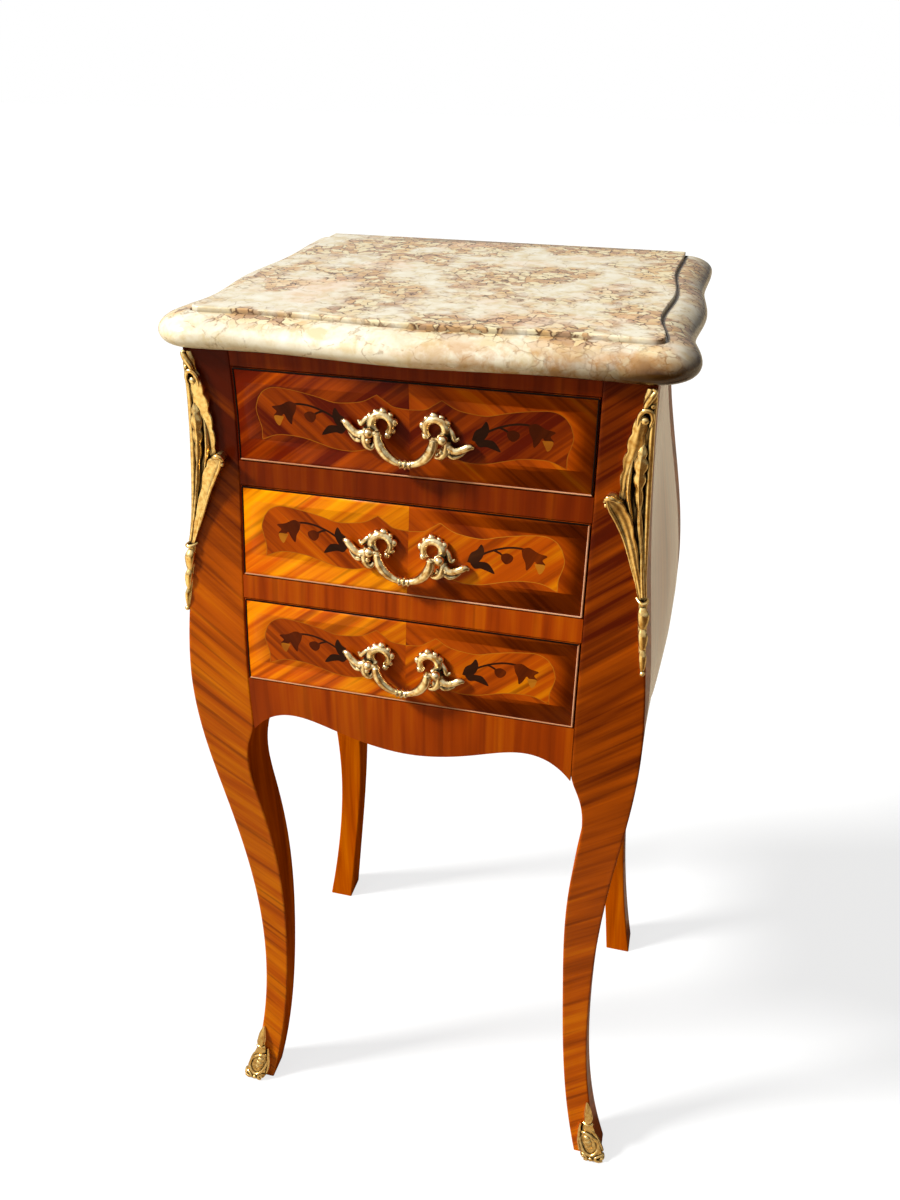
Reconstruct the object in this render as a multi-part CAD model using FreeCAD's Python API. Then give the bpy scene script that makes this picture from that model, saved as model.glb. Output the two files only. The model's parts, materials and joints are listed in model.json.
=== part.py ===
import FreeCAD, Part
import math
import os
from FreeCAD import Vector

# A small three-drawer nightstand with a swelling front and sides, cabriole legs,
# a moulded marble top and cast bronze corner mounts, shoes and drop handles.
# Millimetres: +X to the right, -Y to the front, +Z up. It is drawn with y = 0 on the
# flat upper front and moved at the end, so that the origin lies on the floor under
# the middle of its box.

# Case
OPENING_WIDTH = 236.0
OPENING_HEIGHT = 64.5
RAIL_HEIGHT = 16.5
TOP_RAIL_HEIGHT = 10.0
UNDERFRAME_HEIGHT = 472.5
CASE_DEPTH = 255.0
POST_WIDTH = 32.0
POST_DEPTH = 34.0
BACK_POST_DEPTH = 35.0
SIDE_SPLAY = 8.0
SHOULDER_SPLAY = -1.5
CHEST_SPLAY = 6.8
BELLY_SPLAY = 9.6
SIDE_BELLY = 6.0
PANEL_BANDS = 4
PANEL_THICKNESS = 12.0
RAIL_DEPTH = 40.0
BACK_RAIL_DEPTH = 20.0
BACK_RAIL_HEIGHT = 18.0
BACK_PANEL_THICKNESS = 8.0
BACK_PANEL_INSET = 4.0
BACK_GROOVE_DEPTH = 8.0
BOTTOM_BOARD_THICKNESS = 6.0
APRON_THICKNESS = 22.0
APRON_DROP = 46.0
APRON_SHOULDER_RISE = 9.5
APRON_SHOULDER_FROM_POST = 68.0
SIDE_SHOULDER_FROM_POST = 52.0
ARCH_RISE = 18.5
ARCH_FROM_POST = 34.0
TENON_LENGTH = 12.0
TENON_THICKNESS = 9.0
TENON_SHOULDER = 2.0
TENON_SETBACK = 10.0
APRON_TENON_HEIGHT = 24.0
TONGUE_LENGTH = 6.0
TONGUE_THICKNESS = 5.0
TONGUE_SETBACK = 3.0
TONGUE_END = 14.0

# Outer corner of the legs: heights, and how far it stands out sideways and forwards
BELLY_DROP = 2.5
KNEE_DROP = 132.0
ANKLE_HEIGHT = 180.0
FOOT_HEIGHT = 50.0
SHOULDER_OUT = 1.6
CHEST_OUT = 7.6
BELLY_OUT = 14.3
KNEE_OUT = 3.8
ANKLE_OUT = -5.5
FOOT_OUT = 5.0
SOLE_OUT = 18.0
SHOULDER_FORWARD = 0.0
CHEST_FORWARD = 10.5
BELLY_FORWARD = 18.4
KNEE_FORWARD = 7.1
ANKLE_FORWARD = -9.3
FOOT_FORWARD = -2.4
SOLE_FORWARD = 3.2

# Thickness of the legs below the case
KNEE_WIDTH = 29.5
ANKLE_WIDTH = 22.3
FOOT_WIDTH = 21.0
SOLE_WIDTH = 24.0
KNEE_DEPTH = 31.0
ANKLE_DEPTH = 20.4
FOOT_DEPTH = 19.5
SOLE_DEPTH = 22.0
BACK_KNEE_DEPTH = 30.0
BACK_ANKLE_DEPTH = 22.0
BACK_FOOT_DEPTH = 24.0
BACK_SOLE_DEPTH = 27.0
BACK_SOLE_SETBACK = 5.0
BRACKET_DROP = 16.0
BRACKET_SET = 6.8

# Marble top
MARBLE_THICKNESS = 23.0
TIER_STEP = 3.0
TIER_INSET = 21.0
MARBLE_LIP_HEIGHT = 8.0
MARBLE_LIP_INSET = 9.0
EAR_RADIUS = 30.0
EAR_FRONT_OVERHANG = 8.5
EAR_SIDE_OVERHANG = 23.0
FRONT_DIP = 2.0
FRONT_DIP_FROM_EAR = 40.0
FRONT_BOW = 4.5
SIDE_WAIST = 5.0
SIDE_WAIST_FROM_EAR = 37.0
SIDE_BULGE = -0.5
SIDE_BULGE_FROM_EAR = 112.0
SIDE_REAR_WAIST = 4.0
SIDE_REAR_WAIST_FROM_EAR = 175.0
MARBLE_BACK_OVERHANG = 30.0
LIP_STEPS = 2
THUMB_STEPS = 3

# Drawers
DRAWER_GAP = 0.8
RUN_CLEARANCE = 0.3
FRONT_THICKNESS = 16.0
DRAWER_REAR_GAP = 6.0
DRAWER_SIDE_THICKNESS = 8.0
DRAWER_SIDE_DROP = 2.0
DRAWER_BACK_THICKNESS = 7.0
DRAWER_BACK_DROP = 6.0
DRAWER_BOTTOM_THICKNESS = 5.0
DRAWER_BOTTOM_LIFT = 6.0
DRAWER_GROOVE_DEPTH = 4.0
TAIL_COUNT = 3
TAIL_LENGTH = 10.0
TAIL_NECK = 8.0
TAIL_TIP = 12.0
RUNNER_THICKNESS = 12.0
RUNNER_BEARING = 12.0
GUIDE_HEIGHT = 14.0
GUIDE_CLEARANCE = 0.5
KICKER_THICKNESS = 8.0
STOP_WIDTH = 22.0
STOP_DEPTH = 10.0
STOP_HEIGHT = 4.0
STOP_FROM_MIDDLE = 60.0

# Drop handles
PIVOT_LIFT = -1.0
BAIL_STANDOFF = 10.0
BAIL_HALF_WIDTH = 18.0
BAIL_STRAIGHT = 0.6
BAIL_RADIUS = 2.2
BAIL_END = 2.7
BAIL_BEAD_RADIUS = 3.4
BAIL_BEAD_LENGTH = 5.0
PIN_RADIUS = 1.5
PIN_CLEARANCE = 0.06
PIN_LENGTH = 4.2
KNUCKLE_GAP = 0.5
KNUCKLE_WIDTH = 6.0
KNUCKLE_END = 3.6
PLATE_THICKNESS = 3.6
PLATE_SEAT = 3.0
SCROLL_FROM_MIDDLE = 17.5
SCROLL_LIFT = 4.0
SCROLL_RADIUS = 7.0
SCROLL_WIDTH = 5.0
SCROLL_SIDES = 10
SCROLL_HEIGHT = 4.4
SHANK_RADIUS = 1.4
SHANK_CLEARANCE = 0.1
NUT_WIDTH = 7.0
NUT_THICKNESS = 3.0
NUT_FREE_END = 1.0
BAR_SIDES = 8
BAIL_TURN_STEPS = 8

# Corner mounts and shoes
MOUNT_HEIGHT = 188.0
MOUNT_EDGE = 1.6
MOUNT_CREST = 0.35
MOUNT_CHAMFER = 0.3
MOUNT_SEAT = 2.5
LEAF_DROP = 68.0
LEAF_REACH = 26.0
LEAF_THICKNESS = 8.0
SHOE_HEIGHT = 57.0
SHOE_REACH = 18.0
SHOE_THICKNESS = 5.0

# Heights worked out from the sizes
ROWS = ("upper", "middle", "lower")
ROW_PITCH = OPENING_HEIGHT + RAIL_HEIGHT
OPENING_BOTTOM = [UNDERFRAME_HEIGHT + (len(ROWS) - 1 - row) * ROW_PITCH for row in range(len(ROWS))]
CASE_TOP = OPENING_BOTTOM[0] + OPENING_HEIGHT + TOP_RAIL_HEIGHT
TOTAL_HEIGHT = CASE_TOP + MARBLE_THICKNESS
BELLY_HEIGHT = UNDERFRAME_HEIGHT - BELLY_DROP
KNEE_HEIGHT = UNDERFRAME_HEIGHT - KNEE_DROP
ARCH_SPRING = UNDERFRAME_HEIGHT - APRON_DROP
OPENING_HALF = OPENING_WIDTH / 2
TOP_HALF = OPENING_HALF + POST_WIDTH
PANEL_INNER = TOP_HALF - PANEL_THICKNESS
BACK_POST_FRONT = CASE_DEPTH - BACK_POST_DEPTH
BACK_POST_INNER = OPENING_HALF + SIDE_SPLAY
BACK_PANEL_REAR = CASE_DEPTH - BACK_PANEL_INSET
BACK_PANEL_FRONT = BACK_PANEL_REAR - BACK_PANEL_THICKNESS
DRAWER_REAR = BACK_POST_FRONT - DRAWER_REAR_GAP
FAR = 2 * TOTAL_HEIGHT
HALVINGS = 60

# Stations of the outer corner from the top down: height, sideways swell, forward swell,
# the share of the side's belly that reaches this height and how much wider the back is
CORNER = [
    (CASE_TOP, 0.0, 0.0, 0.0, SHOULDER_SPLAY),
    (OPENING_BOTTOM[0], SHOULDER_OUT, SHOULDER_FORWARD, 0.1, SHOULDER_SPLAY),
    (OPENING_BOTTOM[1], CHEST_OUT, CHEST_FORWARD, 0.6, CHEST_SPLAY),
    (BELLY_HEIGHT, BELLY_OUT, BELLY_FORWARD, 0.2, BELLY_SPLAY),
    (KNEE_HEIGHT, KNEE_OUT, KNEE_FORWARD, 0.0, SIDE_SPLAY),
    (ANKLE_HEIGHT, ANKLE_OUT, ANKLE_FORWARD, 0.0, SIDE_SPLAY),
    (FOOT_HEIGHT, FOOT_OUT, FOOT_FORWARD, 0.0, SIDE_SPLAY),
    (0.0, SOLE_OUT, SOLE_FORWARD, 0.0, SIDE_SPLAY),
]


def smooth_curve(points, start=None, end=None):
    """Curve through the points, with chosen directions at its ends if they are given."""
    curve = Part.BSplineCurve()
    if start is None:
        curve.interpolate(points)
    else:
        curve.interpolate(Points=points, InitialTangent=start, FinalTangent=end)
    return curve


def face_of(edges):
    """Flat face inside a closed run of edges."""
    return Part.Face(Part.Wire(edges))


def polygon(points):
    """Flat face with straight sides."""
    return Part.Face(Part.makePolygon(points + [points[0]]))


def block(x0, x1, y0, y1, z0, z1):
    """Box between two corners."""
    return Part.makeBox(x1 - x0, y1 - y0, z1 - z0, Vector(x0, y0, z0))


def rod(start, end, radius):
    """Round bar between two points."""
    along = end - start
    return Part.makeCylinder(radius, along.Length, start, along)


def regular_points(centre, radius, axis, sides=BAR_SIDES):
    """Corners of an outline with equal sides, square to an axis along X, Y or Z."""
    first = Vector(axis.z, axis.x, axis.y)
    second = axis.cross(first)
    points = []
    for index in range(sides):
        angle = 2 * math.pi * (index + 0.5) / sides
        points.append(centre + first * (radius * math.cos(angle)) + second * (radius * math.sin(angle)))
    return points


def prism(start, radius, along, sides=BAR_SIDES):
    """Bar with equal sides from its start, as long as the given vector."""
    axis = Vector(along).normalize()
    return polygon(regular_points(start, radius, axis, sides)).extrude(along)


def flat_sided(outlines, twisted=False):
    """Solid through outlines; sides that twist between two of them are split into triangles."""
    faces = [polygon(outlines[0]), polygon(outlines[-1])]
    for outline, following in zip(outlines, outlines[1:]):
        for index in range(len(outline)):
            side = [outline[index - 1], outline[index], following[index], following[index - 1]]
            if twisted:
                faces += [polygon(side[:3]), polygon(side[2:] + side[:1])]
            else:
                faces.append(polygon(side))
    solid = Part.makeSolid(Part.makeShell(faces))
    if solid.Volume < 0:
        solid.reverse()
    return solid


def mirrored(shape):
    """The same shape on the other side of the middle plane."""
    return shape.mirror(Vector(0, 0, 0), Vector(1, 0, 0))


def both_sides(shape):
    """A right-hand shape together with its left-hand twin."""
    return [mirrored(shape), shape]


def at_height(curve, z):
    """Point of a curve that runs downwards, at the height z."""
    high = curve.FirstParameter
    low = curve.LastParameter
    for _ in range(HALVINGS):
        middle = (high + low) / 2
        if curve.value(middle).z > z:
            high = middle
        else:
            low = middle
    return curve.value(low)


# Outer curves that legs, rails, drawers and panels share
FRONT_CURVE = smooth_curve([Vector(0, -forward, z) for z, out, forward, *rest in CORNER])
SIDE_CURVE = smooth_curve([Vector(TOP_HALF + out, 0, z) for z, out, *rest in CORNER])


def front_at(z):
    """Depth of the front's surface at a height."""
    return at_height(FRONT_CURVE, z).y


def side_at(z):
    """Half width of the case on its front corner at a height."""
    return at_height(SIDE_CURVE, z).x


def front_body():
    """Everything behind the curved front, as a prism across the whole width."""
    top = FRONT_CURVE.value(FRONT_CURVE.FirstParameter)
    foot = FRONT_CURVE.value(FRONT_CURVE.LastParameter)
    top_rear = Vector(0, CASE_DEPTH, top.z)
    foot_rear = Vector(0, CASE_DEPTH, foot.z)
    edges = [
        FRONT_CURVE.toShape(),
        Part.makeLine(foot, foot_rear),
        Part.makeLine(foot_rear, top_rear),
        Part.makeLine(top_rear, top),
    ]
    face = face_of(edges).translated(Vector(-FAR / 2, 0, 0))
    return face.extrude(Vector(FAR, 0, 0))


def leg_outline(outer, sizes, post_edge, inward, place):
    """Outline of a leg in one view, from its outer curve and its thickness at each height.

    outer: curve points from the top down; sizes: thickness at knee, ankle, foot and sole;
    post_edge: inner edge of the post above; inward: +1 or -1, the way from the inner edge
    to the outer curve; place: makes a point from the view's two coordinates.
    """
    heights = (KNEE_HEIGHT, ANKLE_HEIGHT, FOOT_HEIGHT, 0.0)
    below = [place(edge - inward * size, z) for edge, size, z in zip(outer[4:], sizes, heights)]
    bracket = place(post_edge + inward * BRACKET_SET, ARCH_SPRING - BRACKET_DROP)
    spring = place(post_edge, ARCH_SPRING)
    top_inner = place(post_edge, CASE_TOP)
    outer_points = [place(edge, station[0]) for edge, station in zip(outer, CORNER)]
    inner_points = below[::-1] + [bracket, spring]
    edges = [
        smooth_curve(outer_points).toShape(),
        Part.makeLine(outer_points[-1], inner_points[0]),
        smooth_curve(inner_points).toShape(),
        Part.makeLine(spring, top_inner),
        Part.makeLine(top_inner, outer_points[0]),
    ]
    return face_of(edges)


def in_front_view(x, z):
    return Vector(x, 0, z)


def in_side_view(y, z):
    return Vector(0, y, z)


def leg_front_view(splayed, sole_setback):
    """A right leg as the front shows it, as a prism through the whole depth."""
    outer = [TOP_HALF + station[1] + splayed * station[4] for station in CORNER]
    outer[-1] -= sole_setback
    sizes = (KNEE_WIDTH, ANKLE_WIDTH, FOOT_WIDTH, SOLE_WIDTH)
    face = leg_outline(outer, sizes, OPENING_HALF + splayed * SIDE_SPLAY, 1, in_front_view)
    return face.translated(Vector(0, -FAR / 2, 0)).extrude(Vector(0, FAR, 0))


def front_leg_side_view():
    """A front leg as the side shows it, as a prism through the whole width."""
    outer = [-station[2] for station in CORNER]
    sizes = (KNEE_DEPTH, ANKLE_DEPTH, FOOT_DEPTH, SOLE_DEPTH)
    face = leg_outline(outer, sizes, POST_DEPTH, -1, in_side_view)
    return face.extrude(Vector(FAR, 0, 0))


def back_leg_side_view():
    """A back leg as the side shows it: flat behind, curved in front."""
    sizes = (BACK_KNEE_DEPTH, BACK_ANKLE_DEPTH, BACK_FOOT_DEPTH, BACK_SOLE_DEPTH)
    outer = [CASE_DEPTH for station in CORNER]
    face = leg_outline(outer, sizes, BACK_POST_FRONT, 1, in_side_view)
    return face.extrude(Vector(FAR, 0, 0))


def scalloped_edge(half, shoulder, place):
    """Shaped lower edge of a board between two posts, as a curve from end to end."""
    right = [
        (0.0, ARCH_SPRING),
        (half - shoulder, ARCH_SPRING + APRON_SHOULDER_RISE),
        (half - ARCH_FROM_POST, ARCH_SPRING + ARCH_RISE),
        (half, ARCH_SPRING),
    ]
    left = [(-across, z) for across, z in right[:0:-1]]
    return smooth_curve([place(across, z) for across, z in left + right])


def scalloped_board(half, shoulder, top, place):
    """Flat face between a shaped lower edge and a straight top."""
    curve = scalloped_edge(half, shoulder, place)
    corners = [place(half, ARCH_SPRING), place(half, top), place(-half, top), place(-half, ARCH_SPRING)]
    edges = [Part.makeLine(a, b) for a, b in zip(corners, corners[1:])]
    return face_of([curve.toShape()] + edges)


def tenon(z0, z1, y0, thickness):
    """Stub tenon on the right-hand end of a rail."""
    return block(OPENING_HALF, OPENING_HALF + TENON_LENGTH, y0, y0 + thickness, z0, z1)


def rail_tenon(z0, z1):
    return tenon(z0 + TENON_SHOULDER, z1 - TENON_SHOULDER, TENON_SETBACK, TENON_THICKNESS)


def front_rail(z0, z1, y0=-FAR / 2):
    """Rail across the front between the posts, with a tenon on each end."""
    rail = block(-OPENING_HALF, OPENING_HALF, y0, RAIL_DEPTH, z0, z1).common(FRONT_BODY)
    return rail.fuse(both_sides(rail_tenon(z0, z1))).removeSplitter()


def apron_back():
    return front_at(UNDERFRAME_HEIGHT) + APRON_THICKNESS


def apron_tenon():
    middle = apron_back() - APRON_THICKNESS / 2
    top = UNDERFRAME_HEIGHT - TENON_SETBACK
    return tenon(top - APRON_TENON_HEIGHT, top, middle - TENON_THICKNESS / 2, TENON_THICKNESS)


def front_apron():
    """Shaped board under the lowest drawer."""
    face = scalloped_board(OPENING_HALF, APRON_SHOULDER_FROM_POST, UNDERFRAME_HEIGHT, in_front_view)
    board = face.translated(Vector(0, -FAR / 2, 0)).extrude(Vector(0, FAR / 2 + apron_back(), 0))
    return board.common(FRONT_BODY).fuse(both_sides(apron_tenon())).removeSplitter()


def panel_tongues():
    """Tongues on the front and rear edges of a right-hand side panel."""
    x0 = PANEL_INNER + TONGUE_SETBACK
    z0 = ARCH_SPRING + TONGUE_END
    z1 = CASE_TOP - TONGUE_END
    front = block(x0, x0 + TONGUE_THICKNESS, POST_DEPTH - TONGUE_LENGTH, POST_DEPTH, z0, z1)
    rear = block(x0, x0 + TONGUE_THICKNESS, BACK_POST_FRONT, BACK_POST_FRONT + TONGUE_LENGTH, z0, z1)
    return [front, rear]


def panel_section(share):
    """Upright cut through a right-hand side panel, at a share of the way to the back."""
    splayed = (1 - math.cos(math.pi * share)) / 2
    belly = SIDE_BELLY * math.sin(math.pi * share) ** 2
    y = POST_DEPTH + share * (BACK_POST_FRONT - POST_DEPTH)
    outer = []
    for z, out, forward, belly_share, splay in CORNER:
        outer.append(Vector(TOP_HALF + out + splay * splayed + belly * belly_share, y, z))
    foot = Vector(PANEL_INNER, y, 0)
    top = Vector(PANEL_INNER, y, CASE_TOP)
    edges = [
        smooth_curve(outer).toShape(),
        Part.makeLine(outer[-1], foot),
        Part.makeLine(foot, top),
        Part.makeLine(top, outer[0]),
    ]
    return Part.Wire(edges)


def side_panel():
    """Right-hand side: swells in height and in depth, flat inside, shaped below."""
    sections = [panel_section(step / PANEL_BANDS) for step in range(PANEL_BANDS + 1)]
    swell = Part.makeLoft(sections, True, True)
    half = (BACK_POST_FRONT - POST_DEPTH) / 2
    middle = POST_DEPTH + half
    face = scalloped_board(half, SIDE_SHOULDER_FROM_POST, CASE_TOP, in_side_view)
    face = face.translated(Vector(0, middle, 0))
    board = swell.common(face.extrude(Vector(FAR, 0, 0)))
    return board.fuse(panel_tongues()).removeSplitter()


def marble_outline(inset, z):
    """Outline of the marble at one height, drawn in from its widest line."""
    ear_x = TOP_HALF + EAR_SIDE_OVERHANG - EAR_RADIUS
    ear_y = EAR_RADIUS - EAR_FRONT_OVERHANG
    front_y = inset - EAR_FRONT_OVERHANG
    side_x = TOP_HALF + EAR_SIDE_OVERHANG - inset
    rear_y = CASE_DEPTH + MARBLE_BACK_OVERHANG
    dip_x = ear_x - FRONT_DIP_FROM_EAR
    front = [
        Vector(-ear_x, front_y, z),
        Vector(-dip_x, front_y + FRONT_DIP, z),
        Vector(0, front_y - FRONT_BOW, z),
        Vector(dip_x, front_y + FRONT_DIP, z),
        Vector(ear_x, front_y, z),
    ]
    right = [
        Vector(side_x, ear_y, z),
        Vector(side_x - SIDE_WAIST, ear_y + SIDE_WAIST_FROM_EAR, z),
        Vector(side_x + SIDE_BULGE, ear_y + SIDE_BULGE_FROM_EAR, z),
        Vector(side_x - SIDE_REAR_WAIST, ear_y + SIDE_REAR_WAIST_FROM_EAR, z),
        Vector(side_x + SIDE_BULGE, rear_y, z),
    ]
    left = [Vector(-point.x, point.y, z) for point in right[::-1]]
    turn = math.sqrt(0.5) * (EAR_RADIUS - inset)
    right_ear = Part.Arc(front[-1], Vector(ear_x + turn, ear_y - turn, z), right[0])
    left_ear = Part.Arc(left[-1], Vector(-ear_x - turn, ear_y - turn, z), front[0])
    across = Vector(1, 0, 0)
    back = Vector(0, 1, 0)
    return Part.Wire([
        smooth_curve(front, across, across).toShape(),
        right_ear.toShape(),
        smooth_curve(right, back, back).toShape(),
        Part.makeLine(right[-1], left[0]),
        smooth_curve(left, -back, -back).toShape(),
        left_ear.toShape(),
    ])


def marble_top():
    """Serpentine slab: rounded under the edge, a long thumb moulding above, a raised tier."""
    widest = CASE_TOP + MARBLE_LIP_HEIGHT
    rise = MARBLE_THICKNESS - TIER_STEP - MARBLE_LIP_HEIGHT
    levels = []
    for step in range(LIP_STEPS):
        angle = math.pi / 2 * (1 - step / LIP_STEPS)
        inset = MARBLE_LIP_INSET * (1 - math.cos(angle))
        levels.append(marble_outline(inset, widest - MARBLE_LIP_HEIGHT * math.sin(angle)))
    for step in range(THUMB_STEPS + 1):
        angle = math.pi / 2 * step / THUMB_STEPS
        inset = TIER_INSET * (1 - math.cos(angle))
        levels.append(marble_outline(inset, widest + rise * math.sin(angle)))
    slab = Part.makeLoft(levels, True, True)
    tier = Part.Face(levels[-1]).extrude(Vector(0, 0, TIER_STEP))
    return slab.fuse(tier)


def runner_pair(z):
    """Bearers under a drawer's sides, each with a guide strip beside the drawer."""
    rear = BACK_POST_FRONT
    bearer = block(OPENING_HALF - RUNNER_BEARING, PANEL_INNER, RAIL_DEPTH, rear, z - RUNNER_THICKNESS, z)
    guide = block(OPENING_HALF + GUIDE_CLEARANCE, PANEL_INNER, RAIL_DEPTH, rear, z, z + GUIDE_HEIGHT)
    return Part.makeCompound(both_sides(bearer.fuse(guide).removeSplitter()))


def kicker_pair():
    """Strips over the upper drawer's sides that keep it level when it is drawn out."""
    z1 = CASE_TOP - (TOP_RAIL_HEIGHT - KICKER_THICKNESS)
    z0 = CASE_TOP - TOP_RAIL_HEIGHT
    strip = block(OPENING_HALF - RUNNER_BEARING, PANEL_INNER, RAIL_DEPTH, BACK_POST_FRONT, z0, z1)
    return Part.makeCompound(both_sides(strip))


def back_rail(z0, z1):
    """Rail between the back posts, in front of the back panel."""
    x = BACK_POST_INNER
    rail = block(-x, x, BACK_POST_FRONT, BACK_POST_FRONT + BACK_RAIL_DEPTH, z0, z1)
    return rail.fuse(both_sides(back_rail_tenon(z0, z1))).removeSplitter()


def back_rail_tenon(z0, z1):
    x0 = BACK_POST_INNER
    y0 = BACK_POST_FRONT + (BACK_RAIL_DEPTH - TENON_THICKNESS) / 2
    return block(x0, x0 + TENON_LENGTH, y0, y0 + TENON_THICKNESS, z0 + TENON_SHOULDER, z1 - TENON_SHOULDER)


def back_panel():
    x = BACK_POST_INNER + BACK_GROOVE_DEPTH
    return block(-x, x, BACK_PANEL_FRONT, BACK_PANEL_REAR, BACK_BOTTOM[0], CASE_TOP)


def bottom_board():
    """Dust board under the lowest runners."""
    z1 = UNDERFRAME_HEIGHT - RUNNER_THICKNESS
    return block(-PANEL_INNER, PANEL_INNER, RAIL_DEPTH, BACK_POST_FRONT, z1 - BOTTOM_BOARD_THICKNESS, z1)


class Drawer:
    """One drawer: a lapped dovetailed box behind a front cut from the shared curve."""

    def __init__(self, row):
        self.half = OPENING_HALF - DRAWER_GAP
        self.low = OPENING_BOTTOM[row] + DRAWER_GAP
        self.high = OPENING_BOTTOM[row] + OPENING_HEIGHT - DRAWER_GAP
        self.rest = OPENING_BOTTOM[row] + RUN_CLEARANCE
        self.front_back = max(front_at(self.low), front_at(self.high)) + FRONT_THICKNESS
        self.inner_half = self.half - DRAWER_SIDE_THICKNESS
        self.side_high = self.high - DRAWER_SIDE_DROP
        self.floor_low = self.rest + DRAWER_BOTTOM_LIFT
        self.floor_high = self.floor_low + DRAWER_BOTTOM_THICKNESS
        self.handle = Handle((self.low + self.high) / 2 + PIVOT_LIFT, self.front_back)

    def bottom(self):
        x = self.inner_half + DRAWER_GROOVE_DEPTH
        y0 = self.front_back - DRAWER_GROOVE_DEPTH
        return block(-x, x, y0, DRAWER_REAR, self.floor_low, self.floor_high)

    def tails(self):
        """Dovetails on the front end of the right-hand side."""
        pitch = (self.side_high - self.rest) / TAIL_COUNT
        shapes = []
        for index in range(TAIL_COUNT):
            middle = self.rest + (index + 0.5) * pitch
            tip = self.front_back - TAIL_LENGTH
            outline = polygon([
                Vector(self.inner_half, self.front_back, middle - TAIL_NECK / 2),
                Vector(self.inner_half, tip, middle - TAIL_TIP / 2),
                Vector(self.inner_half, tip, middle + TAIL_TIP / 2),
                Vector(self.inner_half, self.front_back, middle + TAIL_NECK / 2),
            ])
            shapes.append(outline.extrude(Vector(DRAWER_SIDE_THICKNESS, 0, 0)))
        return shapes

    def side(self):
        board = block(self.inner_half, self.half, self.front_back, DRAWER_REAR, self.rest, self.side_high)
        return board.fuse(self.tails()).removeSplitter().cut(self.bottom())

    def blank_front(self):
        return block(-self.half, self.half, -FAR / 2, self.front_back, self.low, self.high).common(FRONT_BODY)

    def front(self):
        sockets = [shape for tail in self.tails() for shape in both_sides(tail)]
        holes = both_sides(self.handle.shank_hole())
        return self.blank_front().cut(sockets + [self.bottom()] + holes)

    def back(self):
        x = self.inner_half
        y0 = DRAWER_REAR - DRAWER_BACK_THICKNESS
        return block(-x, x, y0, DRAWER_REAR, self.floor_high, self.high - DRAWER_BACK_DROP)

    def stops(self):
        """Two blocks behind the closed drawer's front, on the rail below it."""
        y0 = self.front_back + RUN_CLEARANCE
        z0 = self.rest - RUN_CLEARANCE
        x0 = STOP_FROM_MIDDLE - STOP_WIDTH / 2
        return both_sides(block(x0, x0 + STOP_WIDTH, y0, y0 + STOP_DEPTH, z0, z0 + STOP_HEIGHT))


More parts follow.
